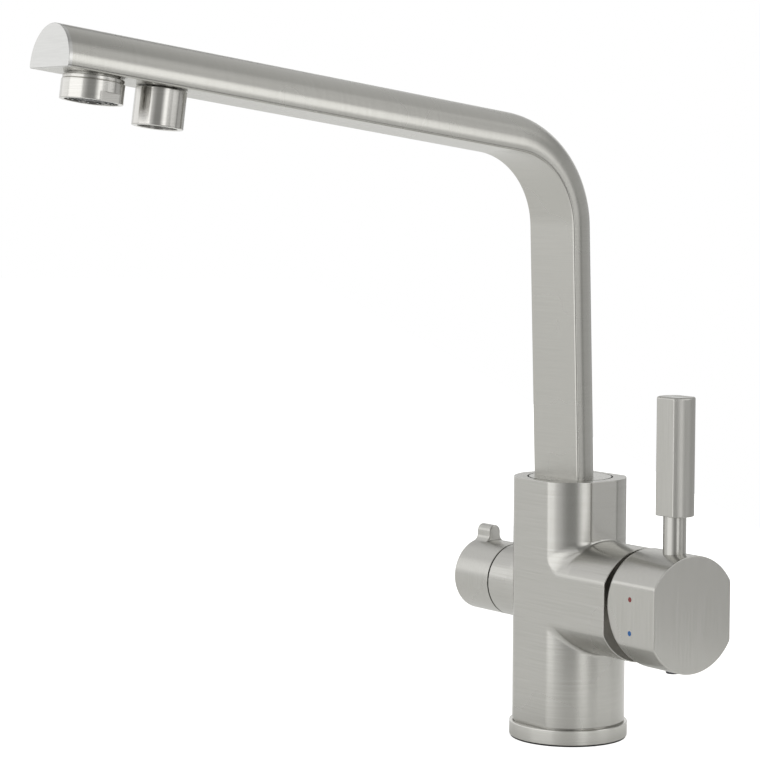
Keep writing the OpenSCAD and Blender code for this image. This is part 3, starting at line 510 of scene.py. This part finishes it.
def ringStack(angle, rings, closed, onCrossAxis=False):
    # rings of (radius, height) stacked into one surface, closed round or with flat caps at both ends;
    # the normals follow the larger faces, so narrow rings beside an edge keep it crisp
    radius = np.stack([np.broadcast_to(ring[0], angle.shape) for ring in rings])
    height = np.repeat(np.array([ring[1] for ring in rings])[:, None], len(angle), 1)
    u, v = radius * np.cos(angle), radius * np.sin(angle)
    points = np.stack([height, v, u + axisZ] if onCrossAxis else [u, v, height], -1).reshape(-1, 3)
    caps = [] if closed else endCaps(len(rings), len(angle))
    quads, caps = outward(points, gridFaces(len(rings), len(angle), closed, True), caps)
    area = np.cross(points[quads[:, 2]] - points[quads[:, 0]], points[quads[:, 3]] - points[quads[:, 1]])
    normals = np.zeros_like(points)
    for i in range(4):
        np.add.at(normals, quads[:, i], area)
    return points, quads, unit(normals), caps


def edgeRings(radii, end, edge):
    # rings round an outer edge up to an end face, or down to it with a negative edge
    return [(radius, end - edge * (1 - sin(a))) for radius, a in zip(radii, arc)]


def spigotDistance(x, y, z):
    # round spigot inside the base ring and the column's foot, with the holes for hoses and studs
    radius = np.where(z > casting.ringTop, casting.spigotR - casting.spigotStep, casting.spigotR)
    spigot = np.maximum(np.hypot(x, y) - radius, np.maximum(-z, z - casting.spigotTop))
    for places, r, depth in ((casting.hoses, casting.hoseR, casting.hoseDepth),
                             (casting.studs, casting.studR, casting.studDepth)):
        for holeX, holeY in places:
            spigot = np.maximum(spigot, -np.maximum(np.hypot(x - holeX, y - holeY) - r, z - depth))
    return spigot


# middle of the column with the branch and the neck, and the spigot
cupSeam, lowSeam, highSeam = casting.cupSeam, casting.lowSeam, casting.highSeam
midPart = bodyPart(
    [(0, 1, cupSeam), (2, -1, lowSeam), (2, 1, highSeam)],
    [gradedAxis(-38.6, 41.0, step=1.3, spots=(casting.neckEnd, cupSeam), fineStep=0.25, reach=0.8,
                ranges=[(-26.0, 30.0, 0.66)]),
     gradedAxis(-25.4, 25.4, step=0.7, spots=(-casting.flatHalf, casting.flatHalf), fineStep=0.36, reach=0.8),
     gradedAxis(36.0, 108.0, step=1.5, spots=(lowSeam, highSeam), fineStep=0.3, reach=0.6,
                ranges=[(39.0, 92.0, 0.66)])])
spigotSide = gradedAxis(-casting.spigotR - 0.8, casting.spigotR + 0.8, 0.8)
spigotLevels = (0, casting.hoseDepth, casting.studDepth, casting.spigotTop)
spigotPart = skinOf(spigotDistance, spigotSide, spigotSide,
                    gradedAxis(-0.7, 16.6, step=1.2, spots=spigotLevels, fineStep=0.35, reach=0.5)) + ((),)

# rings turn closer together at the ends of the flats, and a pair of thin rings holds each edge
flatTurn = acos(casting.flatHalf / casting.columnR)
sideTurn = acos(casting.sideHalf / casting.columnR)
spots = [pi / 2 * i + sign * (flatTurn if i % 2 else sideTurn) for i in range(5) for sign in (-1, 1)]
angle = gradedAxis(0, 2 * pi, radians(1.4), spots, radians(0.4), radians(4))[:-1]
arc = np.linspace(0, pi / 2, 6)
thin = 0.03

# foot of the column down to its seat on the base ring
foot, stop, edge = casting.foot, casting.ringTop, casting.footEdge
core = casting.spigotR - casting.coreInset
*wall, seat = [flattedRadius(angle, inset, casting.columnR)
               for inset in np.append(edge * (1 - np.cos(arc)), casting.seatDepth)]
lowPart = ringStack(angle, [(wall[0], lowSeam), (wall[0], casting.wallRing), (wall[0], foot + edge + thin)]
                    + edgeRings(wall, foot, -edge)
                    + [(seat + thin, foot), (seat, foot - thin), (seat, stop + thin), (seat - thin, stop),
                       (core + thin, stop), (core, stop + thin), (core, casting.coreTop)], False)

# top of the column with the recess of the spout foot
top, edge, bore, floorZ = casting.top, casting.topEdge, casting.boreR, casting.recess
recess, recessEdge = casting.recessR, casting.recessEdge
wall = [flattedRadius(angle, inset, casting.columnR, casting.sideHalf) for inset in edge * (1 - np.cos(arc))]
topPart = ringStack(angle, [(bore, highSeam), (wall[0] - thin, highSeam), (wall[0], highSeam),
                            (wall[0], top - edge - thin)]
                    + edgeRings(wall, top, edge)
                    + [(wall[-1] - thin, top), (recess + recessEdge, top), (recess, top - recessEdge),
                       (recess, floorZ + thin), (recess - thin, floorZ), (bore + thin, floorZ),
                       (bore, floorZ - thin)], True)

# end of the branch with the cup
rim, back, edge, lip = casting.rim, casting.cupFloor, casting.endEdge, casting.lip
inner, room = casting.cupWall, casting.roomR
insets = np.concatenate([edge * (1 - np.cos(arc)), inner - lip + lip * np.sin(arc), [inner + thin, thin]])
wall = [flattedRadius(angle, inset, casting.branchR) for inset in insets]
outside, lipWall, (corner, seamWall) = wall[:6], wall[6:12], wall[12:]
cup = lipWall[-1]
rimPart = ringStack(angle, [(outside[0], cupSeam), (outside[0], rim - edge - thin)]
                    + edgeRings(outside, rim, edge)
                    + [(radius, rim - lip * (1 - cos(a))) for radius, a in zip(lipWall, arc)]
                    + [(cup, rim - lip - thin), (cup, back + thin), (corner, back), (room + thin, back),
                       (room, back - thin), (room, cupSeam), (seamWall, cupSeam)], True, True)

# the parts together; brush lines run round the column, and round the branch and the neck on their round sides
parts = [midPart, rimPart, spigotPart, lowPart, topPart]
shift = np.cumsum([0] + [len(part[0]) for part in parts])
points, normals = (np.concatenate([part[i] for part in parts]) for i in (0, 2))
quads = np.concatenate([part[1] + shift[i] for i, part in enumerate(parts)])
caps = [cap + shift[i] for i, part in enumerate(parts) for cap in part[3]]
pastColumn = np.abs(points[:, 0]) > casting.columnR - 0.3
onBranch = pastColumn & (np.abs(points[:, 1]) < casting.flatHalf - 0.4)
stretch = np.where(onBranch[:, None], lying(alongX, normals, alongZ), lying(alongZ, normals, alongX))
addPiece("bodySkin", points, quads, "body", "body_casting", "satin_nickel", satinBody, normals,
         stretch=stretch, caps=caps)

hidden = 0.05  # radius of an edge that is out of sight
baseRing = Spec(inner=19.5, outer=26.25, height=7.2, edge=0.45, grooveIn=21.3, grooveOut=24.0, groove=2.0,
                gap=0.75, lowEdge=0.2, around=192)
inner, outer, height, gap = baseRing.inner, baseRing.outer, baseRing.height, baseRing.gap
grooveIn, grooveOut, groove = baseRing.grooveIn, baseRing.grooveOut, baseRing.groove
# the ring's foot is cut back by the gap so that the gasket's black rim shows beneath it, a dark line put
# there as painted shade
addTurned("baseRingSkin",
          [(inner, 0), (grooveIn, 0), (grooveIn, groove), (grooveOut, groove), (grooveOut, gap), (outer, gap),
           (outer, height), (inner, height)],
          [hidden] * 5 + [baseRing.lowEdge, baseRing.edge, hidden],
          (0, 0, 0), alongZ, baseRing.around, "body", "base_ring", "satin_nickel", satinRingPaintedLight)

gasket = Spec(inner=21.33, neck=23.97, outer=25.75, rim=0.72, top=1.97, edge=0.1, around=192)
inner, neck, outer = gasket.inner, gasket.neck, gasket.outer
addTurned("baseGasketSkin",  # the real gasket's black rim, brought out to under the ring's cut-back foot, draws the dark line under the base ring as painted shade where the ring meets the floor
          [(inner, 0), (outer, 0), (outer, gasket.rim), (neck, gasket.rim), (neck, gasket.top),
           (inner, gasket.top)],
          [hidden, gasket.edge, gasket.edge, hidden, hidden, hidden],
          (0, 0, 0), alongZ, gasket.around, "body", "base_gasket", "rubber", blackRubber)

spout = Spec(width=30.4, depth=17.2, edge=1.1, lean=radians(1.82), rise=radians(7.9), bendR=33.5,
             cornerZ=255.4, reach=259.8, base=116.3, plate=1.6, plateEdge=0.35, flatShift=0.18,
             riserSteps=40, bendSteps=64, armSteps=60, cornerSteps=9, backSteps=73, flatSteps=23, edgeSteps=7)
lean, rise, bendR = spout.lean, spout.rise, spout.bendR
riser = spout.cornerZ - spout.base
cornerY = spout.flatShift - spout.depth / 2 - riser * tan(lean)
armFlat = (spout.reach + cornerY) / cos(rise)
bendAngle = pi / 2 - lean - rise
bendLength = bendR * bendAngle
tangent = bendR * tan(bendAngle / 2)
bendCentre = np.array([cornerY + tangent * sin(lean) - bendR * cos(lean),
                       spout.cornerZ - tangent * cos(lean) - bendR * sin(lean)])


def dSection(inset):
    # flat on the u = 0 line, short flanks and a half round back, as (u, v) points in order
    half = spout.width / 2
    corner = max(spout.edge - inset, 0.05)
    side = half - inset - corner
    turn = np.linspace(-pi, -pi / 2, spout.cornerSteps)
    lower = np.stack([inset + corner + corner * np.cos(turn), -side + corner * np.sin(turn)], -1)
    turn = np.linspace(-pi / 2, pi / 2, spout.backSteps)
    back = np.stack([spout.depth - half + (half - inset) * np.cos(turn), (half - inset) * np.sin(turn)], -1)
    along = np.linspace(side, -side, spout.flatSteps)[1:-1]
    flat = np.stack([np.full_like(along, inset), along], -1)
    return np.concatenate([lower, back, lower[::-1] * [1, -1], flat])


def spoutFrame(t):
    # point on the flat's middle line, outward direction and path direction, in the (y, z) plane,
    # at a path length t counted from the start of the bend
    a = lean + np.clip(t / bendR, 0, bendAngle)
    out = np.stack([np.cos(a), np.sin(a)], -1)
    ahead = np.stack([-np.sin(a), np.cos(a)], -1)
    straight = np.minimum(t, 0) + np.maximum(t - bendLength, 0)
    return bendCentre + bendR * out + straight[:, None] * ahead, out, ahead


def sweepSpout(t, section):
    # section points (stations, n, 2) set across the path: u along the outward direction, v along x
    base, out, ahead = spoutFrame(t)
    yz = base[:, None] + section[..., :1] * out[:, None]
    return np.concatenate([section[..., 1:], yz], -1), ahead


tipT = bendLength + armFlat - tangent
t = np.concatenate([np.linspace(tangent - riser / cos(lean), 0, spout.riserSteps)[:-1],
                    np.linspace(0, bendLength, spout.bendSteps),
                    np.linspace(bendLength, tipT - spout.plate, spout.armSteps)[1:]])
outline = dSection(0.0)
points, ahead = sweepSpout(t, np.repeat(outline[None], len(t), 0))
lift = (spout.base - points[0, :, 2]) / ahead[0, 1]  # the riser ends level on its foot
points[0, :, 1:] += lift[:, None] * ahead[0]
girth = np.concatenate([[0], np.cumsum(np.linalg.norm(np.diff(outline, axis=0), axis=1))])
uv = np.stack(np.broadcast_arrays(t[:, None], girth[None, :]), -1)
stretch = np.repeat(np.concatenate([np.zeros((len(t), 1)), ahead], -1)[:, None], len(outline), 1)
addRows("spoutSkin", points, "spout", "spout_tube", "satin_nickel", satinSpout, uv=uv, stretch=stretch)

quarter = np.linspace(0, pi / 2, spout.edgeSteps)
insets = np.concatenate([[0.0], spout.plateEdge * (1 - np.cos(quarter))])
depths = np.concatenate([[-spout.plate], spout.plateEdge * (np.sin(quarter) - 1)])
points, _ = sweepSpout(tipT + depths, np.stack([dSection(inset) for inset in insets]))
stretch = np.broadcast_to(np.append(0.0, ahead[-1]), points.shape).copy()
stretch[-1] = np.append(0.0, spoutFrame(np.array([tipT]))[1][0])
addRows("tipPlateSkin", points, "spout", "spout_end_plate", "bright_nickel", tipNickel, stretch=stretch)

armUp = np.array([0.0, sin(rise), cos(rise)])
armBack = np.array([0.0, cos(rise), -sin(rise)])
tip = np.array([0.0, -spout.reach, spout.cornerZ + armFlat * sin(rise)])
aerator = Spec(back=20.0, outer=12.35, top=0.6, bottom=10.0, lipR=10.5, lip=7.1, boreR=10.2, collar=0.35,
               groove=2.1, grooveIn=0.6, grooveUp=0.2, grooveDown=0.3,
               flat=11.35, flatTop=6.4, flatStep=0.12, flatTurn=radians(10), around=160)


def wrenchFlats(radius, height, angle):
    # two flats across the lower half of the ring
    flat = aerator.flat / np.maximum(np.abs(np.cos(angle - aerator.flatTurn)), 1e-3)
    return np.where(height < -aerator.flatTop, np.minimum(radius, flat), radius)


outer, bore, lip = aerator.outer, aerator.boreR, aerator.lipR
collar = outer - aerator.collar
groove, flatTop, bottom = aerator.groove, aerator.flatTop, aerator.bottom
addTurned("aeratorSkin",
          [(bore, -aerator.top), (collar, -aerator.top), (collar, aerator.grooveUp - groove),
           (outer - aerator.grooveIn, -groove), (outer, -groove - aerator.grooveDown),
           (outer, -flatTop), (outer, -flatTop - aerator.flatStep), (outer, -bottom), (lip, -bottom),
           (lip, -aerator.lip), (bore, -aerator.lip)],
          [hidden, 0.25, 0.05, 0.08, 0.2, 0.03, 0.03, 0.28, 0.12, hidden, hidden],
          tip + armBack * aerator.back, armUp, aerator.around, "spout", "aerator_housing",
          "bright_nickel", brightTurned, wrenchFlats)

insert = Spec(r=10.45, top=7.2, face=9.1, edge=0.15, middle=0.1, pegs=16, pegAt=9.2, pegR=0.55, peg=0.6,
              holes=((1, 0.0), (6, 3.3), (12, 6.5)), holeR=0.75, hole=1.2, rim=0.4, rings=70, around=256)


def spotsOn(radius, at, count, size):
    # 1 inside round spots set evenly on a circle of radius at, falling to 0 at their rims
    turn = np.linspace(0, 2 * pi, insert.around, endpoint=False)[None, :]
    off = (turn + pi / count) % (2 * pi / count) - pi / count
    away = np.hypot(radius[:, None] * np.cos(off) - at, radius[:, None] * np.sin(off))
    return np.clip((size - away) / (insert.rim * size), 0, 1)


# flat disc of rings, its face raised at the pegs near its rim and sunk at the holes
radius = np.append(np.linspace(insert.middle, insert.r - insert.edge, insert.rings), [insert.r] * 2)
height = np.append(np.full(insert.rings, -insert.face), [insert.edge - insert.face, -insert.top])
profile = np.stack([radius, height], -1)
pegs = spotsOn(radius, insert.pegAt, insert.pegs, insert.pegR)
holes = sum(spotsOn(radius, at, count, insert.holeR) for count, at in insert.holes)
points = turnedPoints(profile, tip + armBack * aerator.back, armUp, insert.around)
points += (insert.hole * holes - insert.peg * pegs)[..., None] * armUp
piece = addRows("aeratorInsertSkin", points, "spout", "aerator_insert", "grey_plastic", glintPegAcetal)
# the pegs' pale tone is a painted glint
field = piece.data.attributes.new("pale", "FLOAT", "POINT")
field.data.foreach_set("value", pegs.astype(np.float32).ravel())

sleeve = Spec(back=50.4, outer=10.2, top=0.4, bottom=15.4, inner=8.0, step=6.0, bossR=6.2, topEdge=0.3,
              outerEdge=0.45, innerEdge=0.3, around=144)
outer, inner, boss, bottom = sleeve.outer, sleeve.inner, sleeve.bossR, sleeve.bottom
addTurned("filterOutletSkin",
          [(boss, -sleeve.top), (outer, -sleeve.top), (outer, -bottom), (inner, -bottom),
           (inner, -sleeve.step), (boss, -sleeve.step)],
          [hidden, sleeve.topEdge, sleeve.outerEdge, sleeve.innerEdge, hidden, hidden],
          tip + armBack * sleeve.back, armUp, sleeve.around, "spout", "filter_outlet_sleeve",
          "bright_nickel", brightTurned)

knob = Spec(r=25.2, flat=21.7, face=80.3, domeR=30.0, domeX=71.4, domeUp=2.5, rear=49.4, pivot=33.0,
            clear=16.4, tilt=radians(18), hubR=8.0, hub=43.0, centre=68.0, flatEdge=0.5, domeEdge=0.5,
            faceEdge=0.4, reach=45.0)


def knobDistance(x, y, z):
    # flatted round bar with a ball-shaped rear and a flat face, cut clear of the rim at rest and at full
    # tilt, with a round hub behind
    h = z - axisZ
    across = np.hypot(y, h)
    bar = roundCut(across - knob.r, np.abs(y) - knob.flat, knob.flatEdge)
    behind = np.minimum(x - knob.domeX, 0)
    dome = np.sqrt(behind ** 2 + y ** 2 + (h - knob.domeUp) ** 2) - knob.domeR
    shape = roundCut(bar, dome, knob.domeEdge)
    tilted = knob.clear - (x - knob.pivot) * cos(knob.tilt) - h * sin(knob.tilt)
    shape = roundCut(shape, np.maximum(knob.rear - x, tilted), knob.domeEdge)
    shape = roundCut(shape, x - knob.face, knob.faceEdge)
    hub = np.maximum(across - knob.hubR, knob.hub - x)
    return np.minimum(shape, np.maximum(hub, x - knob.centre))


# the rows of directions crowd together along the edge of the face
corner = acos(knob.flat / knob.r)
corners = (corner, pi - corner, pi + corner, 2 * pi - corner)
phi = gradedAxis(0, 2 * pi, radians(2.2), corners, radians(0.4), radians(3))[:-1]
section = np.minimum(knob.r, knob.flat / np.maximum(np.abs(np.cos(phi)), 1e-6))
edgePsi = np.arctan2(section, knob.face - knob.centre)
front = gradedAxis(0, 1, 0.05, (1.0,), 0.0045, 0.02)
rest = gradedAxis(0, 1, 0.011, (0.0,), 0.0022, 0.012)
front[0] = front[1] * 0.1  # the end rows are small rings that flat caps close
rest[-1] = 1 - (1 - rest[-2]) * 0.1
psi = np.concatenate([front[:, None] * edgePsi, edgePsi + rest[1:, None] * (pi - edgePsi)])
addKnob("leverKnobSkin", knobDistance, knob, psi, phi, alongY, "lever", "lever_knob")

stem = Spec(x=68.6, r=4.9, low=75.2, high=114.2, lowEdge=0.3, highEdge=0.3, around=96)
addPin("leverStemSkin", stem, (stem.x, 0, 0), alongZ, "lever_stem", "bright_nickel", satinGrip)

grip = Spec(x=68.6, r=8.1, flat=6.15, corner=0.7, leastCorner=0.12, low=106.2, high=156.7, lowEdge=0.35,
            highEdge=0.9, lowRoom=1.0, highRoom=1.5, steps=10, edgeSteps=9)


def flattedSection(inset):
    # round bar with two flats across y, its four edges rounded, as points in order
    r, flat = grip.r - inset, grip.flat - inset
    corner = max(grip.corner - inset, grip.leastCorner)
    reach = sqrt((r - corner) ** 2 - (flat - corner) ** 2)
    turn = atan2(flat - corner, reach)
    side = np.linspace(-turn, turn, 41)
    bend = np.linspace(turn, pi / 2, 9)[1:]
    right = np.stack([r * np.cos(side), r * np.sin(side)], -1)
    upper = np.stack([reach + corner * np.cos(bend), flat - corner + corner * np.sin(bend)], -1)
    top = np.stack([np.linspace(reach, -reach, 13)[1:-1], np.full(11, flat)], -1)
    left = (right * [-1, 1])[::-1]
    return np.concatenate([right, upper, top, (upper * [-1, 1])[::-1], left, upper * [-1, -1],
                           (top * [1, -1])[::-1], (upper * [1, -1])[::-1]])


low, high, lowEdge, highEdge = grip.low, grip.high, grip.lowEdge, grip.highEdge
quarter = np.linspace(0, pi / 2, grip.edgeSteps)
insets = np.concatenate([lowEdge * (1 - np.sin(quarter)), np.zeros(grip.steps),
                         highEdge * (1 - np.cos(quarter))])
heights = np.concatenate([low + lowEdge * (1 - np.cos(quarter)),
                          np.linspace(low + grip.lowRoom, high - grip.highRoom, grip.steps),
                          high - highEdge * (1 - np.sin(quarter))])
sections = np.stack([flattedSection(inset) for inset in insets])
heights = np.repeat(heights[:, None, None], sections.shape[1], 1)
points = np.concatenate([sections + [grip.x, 0], heights], -1)
stretch = unit(np.roll(points, -1, 1) - np.roll(points, 1, 1))
addRows("leverGripSkin", points, "lever", "lever_grip", "satin_nickel", satinGrip, stretch=stretch)

plug = Spec(x=68.6, r=3.1, low=38.8, high=43.4, lowEdge=0.4, highEdge=0.1, around=48)
addPin("screwPlugSkin", plug, (plug.x, 0, 0), alongZ, "screw_plug", "steel", darkSteel)

marker = Spec(x=65.1, r=1.2, low=-0.6, high=0.05, lowEdge=0.05, highEdge=0.25, apart=7.2, drop=0.5, around=40)
for name, side, node, slotName, material in (("hotDot", 1, "hot_marker", "red_marker", redEnamel),
                                             ("coldDot", -1, "cold_marker", "blue_marker", blueEnamel)):
    place = (marker.x, -knob.flat, axisZ + side * marker.apart - marker.drop)
    addPin(name, marker, place, (0, -1, 0), node, slotName, material)

filterKnob = Spec(r=16.35, start=-38.3, startEdge=0.14, end=-62.4, endEdge=0.4, tabHalf=3.15, tabTop=23.15,
                  tabStart=-53.3, tabEnd=-62.3, tabEdge=0.45, flare=2.4, centre=-57.8, reach=40.0)


def filterKnobDistance(x, y, z):
    # short round bar, and on it a tab with a round top whose sides flare into the bar
    h = z - axisZ
    across = np.hypot(y, h) - filterKnob.r
    bar = roundCut(across, filterKnob.end - x, filterKnob.endEdge)
    bar = roundCut(bar, x - filterKnob.start, filterKnob.startEdge)
    half = filterKnob.tabHalf
    tab = np.hypot(y, np.maximum(h - filterKnob.tabTop + half, 0)) - half
    tab = roundUnion(np.maximum(tab, -h), across, filterKnob.flare)
    tab = np.where(h > 0, tab, 9.0)  # there is no tab below the axis
    ends = np.maximum(x - filterKnob.tabStart, filterKnob.tabEnd - x)
    return np.minimum(bar, roundCut(tab, ends, filterKnob.tabEdge))


# directions, in degrees, in which the edges of tab and bar are seen from the centre
tabSides, edgeRows = (-24, -16, -8, 0, 8, 16, 24), (75, 80, 100, 105, 41, 107.5)
phi = gradedAxis(-pi, pi, radians(2.6), np.radians(tabSides), radians(0.5), radians(6))[:-1]
psi = gradedAxis(0, pi, radians(2.4), np.radians(edgeRows), radians(0.4), radians(2.2))
psi[0], psi[-1] = psi[1] * 0.1, pi - (pi - psi[-2]) * 0.1
addKnob("filterKnobSkin", filterKnobDistance, filterKnob, np.repeat(psi[:, None], len(phi), 1), phi, alongZ,
        "filter_handle", "filter_knob")

finishOf = {"satin_nickel": plainNickel, "bright_nickel": plainNickel, "brass": turnedBrass,
            "rubber": blackRubber, "white_plastic": whiteAcetal, "grey_plastic": greyAcetal,
            "ceramic": lappedCeramic, "steel": plainSteel, "red_marker": redEnamel, "blue_marker": blueEnamel}
# the cover in the cup and the outlet's boss take the nickel copy with painted shade
special = {"cartridge_cover": cupShadeNickel, "filter_outlet_boss": cupShadeNickel, "filter_outlet_insert": plainSteel}
for part in frame["record"]["subparts"]:
    mesh = nodes[part["node"]].data
    mesh.materials.clear()
    mesh.materials.append(special.get(part["node"], finishOf[part["material_slot"]]))
print("finishes set")


def seenBy(tree, pattern):
    # the light path, and 1 for the camera, through glass and, as far as the pattern says, in metal
    ray = addNode(tree, "ShaderNodeLightPath")
    inMetal = addNode(tree, "ShaderNodeMath", {"operation": "MULTIPLY"},
                      {0: (pattern, "Result"), 1: (ray, "Is Glossy Ray")})
    seen = addNode(tree, "ShaderNodeMath", {"operation": "ADD"},
                   {0: (ray, "Is Camera Ray"), 1: (inMetal, "Value")})
    return ray, addNode(tree, "ShaderNodeMath", {"operation": "ADD", "use_clamp": True},
                        {0: (seen, "Value"), 1: (ray, "Is Transmission Ray")})


# a sheet of paper that ends in front and at the right, so the metal shows the dim room there;
# in metal its glow is painted darker close to the foot, as painted shade where the foot stands on it
paper = Spec(reach=5.0, frontTurn=52, front=0.2, rightTurn=150, right=0.25, low=0.05, colour="#f4f4f2",
             glow=0.42, cameraGlow=0.38, near=0.028, clear=0.075, shade=0.15)
front, right = radians(paper.frontTurn), radians(paper.rightTurn)
towards = np.array([[sin(front), -cos(front)], [sin(right), -cos(right)]])
corner = np.linalg.solve(towards, [paper.front, paper.right])
left = np.array([-cos(front), -sin(front)]) * paper.reach
rear = np.array([cos(right), sin(right)]) * paper.reach
corners = [corner, corner + left, corner + left + rear, corner + rear]
mesh = bpy.data.meshes.new("floor")
mesh.from_pydata([(float(x), float(y), -paper.low * mm) for x, y in corners], [], [(3, 2, 1, 0)])
floor = bpy.data.objects.new("floor", mesh)
bpy.context.scene.collection.objects.link(floor)
material, tree = newMaterial("whitePaperFloor")
place = addNode(tree, "ShaderNodeTexCoord")
away = addNode(tree, "ShaderNodeVectorMath", {"operation": "LENGTH"}, {0: (place, "Object")})
clearing = addNode(tree, "ShaderNodeMapRange",
                   {"interpolation_type": "SMOOTHSTEP", "From Min": paper.near, "From Max": paper.clear,
                    "To Min": paper.shade, "To Max": 1.0}, {"Value": (away, "Value")})
ray, seen = seenBy(tree, clearing)
glow = addNode(tree, "ShaderNodeMath", {"operation": "MULTIPLY", 1: paper.glow}, {0: (seen, "Value")})
glow = addNode(tree, "ShaderNodeMath", {"operation": "MULTIPLY_ADD", 1: paper.cameraGlow},
               {0: (ray, "Is Camera Ray"), 2: (glow, "Value")})
sheet = addNode(tree, "ShaderNodeBsdfDiffuse", {"Color": linearHex(paper.colour)})
light = addNode(tree, "ShaderNodeEmission", {"Color": (1, 1, 1, 1)}, {"Strength": (glow, "Value")})
both = addNode(tree, "ShaderNodeAddShader", None, {0: (sheet, "BSDF"), 1: (light, "Emission")})
addNode(tree, "ShaderNodeOutputMaterial", None, {"Surface": (both, "Shader")})
mesh.materials.append(material)

# white backdrop on one side, seen by the camera, by metal and through glass; a dim room on the other side
studio = Spec(dimSide=140, start=-0.55, end=-0.02, level=0.36, colour="#fdfdfb")
scene = bpy.context.scene
scene.world = bpy.data.worlds.new("studioWorld")
scene.world.use_nodes = True
tree = scene.world.node_tree
tree.nodes.clear()
place = addNode(tree, "ShaderNodeTexCoord")
turn = radians(studio.dimSide)
side = addNode(tree, "ShaderNodeVectorMath",
               {"operation": "DOT_PRODUCT", 1: (sin(turn), -cos(turn), 0)},
               {0: (place, "Generated")})
backdrop = addNode(tree, "ShaderNodeMapRange",
                   {"interpolation_type": "SMOOTHSTEP", "From Min": studio.start, "From Max": studio.end,
                    "To Min": 1.0, "To Max": 0.0}, {"Value": (side, "Value")})
_, seen = seenBy(tree, backdrop)
dim = addNode(tree, "ShaderNodeBackground", {"Color": linearHex(studio.colour), "Strength": studio.level})
white = addNode(tree, "ShaderNodeBackground", {"Color": (1, 1, 1, 1), "Strength": 1.0})
mix = addNode(tree, "ShaderNodeMixShader", None,
              {0: (seen, "Value"), 1: (dim, "Background"), 2: (white, "Background")})
addNode(tree, "ShaderNodeOutputWorld", None, {"Surface": (mix, "Shader")})


def addLamp(name, azimuth, elevation, distance, width, height, radiance):
    # soft box: the power that gives its face the wanted radiance, aimed at the tap
    data = bpy.data.lights.new(name, "AREA")
    data.shape = "RECTANGLE"
    data.size, data.size_y = width, height
    data.energy = radiance * pi * width * height
    lamp = bpy.data.objects.new(name, data)
    scene.collection.objects.link(lamp)
    az, el = radians(azimuth), radians(elevation)
    outwards = Vector((sin(az) * cos(el), -cos(az) * cos(el), sin(el)))
    aim = Vector((0, -0.08, 0.16))  # the middle of the tap
    lamp.location = aim + distance * outwards
    lamp.rotation_euler = (aim - lamp.location).to_track_quat("-Z", "Y").to_euler()


# angles in degrees, then distance, width and height in metres, and radiance
addLamp("frontBox", -4, 8, 1.6, 1.5, 1.3, 0.75)
addLamp("leftBox", -52, 15, 1.6, 1.1, 0.7, 0.35)
for distance, width, radiance in ((1.6, 0.95, 0.3), (1.56, 0.66, 0.4), (1.52, 0.36, 0.6)):
    addLamp("rightBox", 83, 14, distance, width, 2.2, radiance)  # three widths together fade out at the sides
addLamp("backRightBox", 127, 20, 1.6, 0.9, 2.2, 0.41)
addLamp("backRightStrip", 117, 19, 1.55, 1.05, 0.54, 1.15)
addLamp("backRightTop", 147, 38, 1.6, 0.75, 0.6, 0.28)
addLamp("backBox", 178, -2, 1.65, 1.75, 1.4, 0.22)
addLamp("backdropBox", 228, 15, 1.7, 1.3, 0.7, 0.6)
addLamp("backTopBox", 195, 48, 1.6, 1.8, 0.9, 0.4)
print("light set")

view = Spec(place=(869.10, -733.66, 251.07), target=(13.73, -114.16, 163.28), roll=0.156,
            lens=121.94, sensor=36.0)
camera = bpy.data.objects.new("camera", bpy.data.cameras.new("camera"))
scene.collection.objects.link(camera)
forward = (Vector(view.target) - Vector(view.place)).normalized()
right = forward.cross(Vector(alongZ)).normalized()
up = right.cross(forward)
roll = radians(view.roll)
right, up = right * cos(roll) + up * sin(roll), up * cos(roll) - right * sin(roll)
pose = Matrix((right, up, -forward)).transposed().to_4x4()
pose.translation = Vector(view.place) * mm
camera.matrix_world = pose
camera.data.sensor_fit = "HORIZONTAL"
camera.data.sensor_width = view.sensor
camera.data.lens = view.lens
camera.data.clip_start, camera.data.clip_end = 0.05, 50.0
scene.camera = camera
scene.view_settings.view_transform = "Standard"
print("camera set")
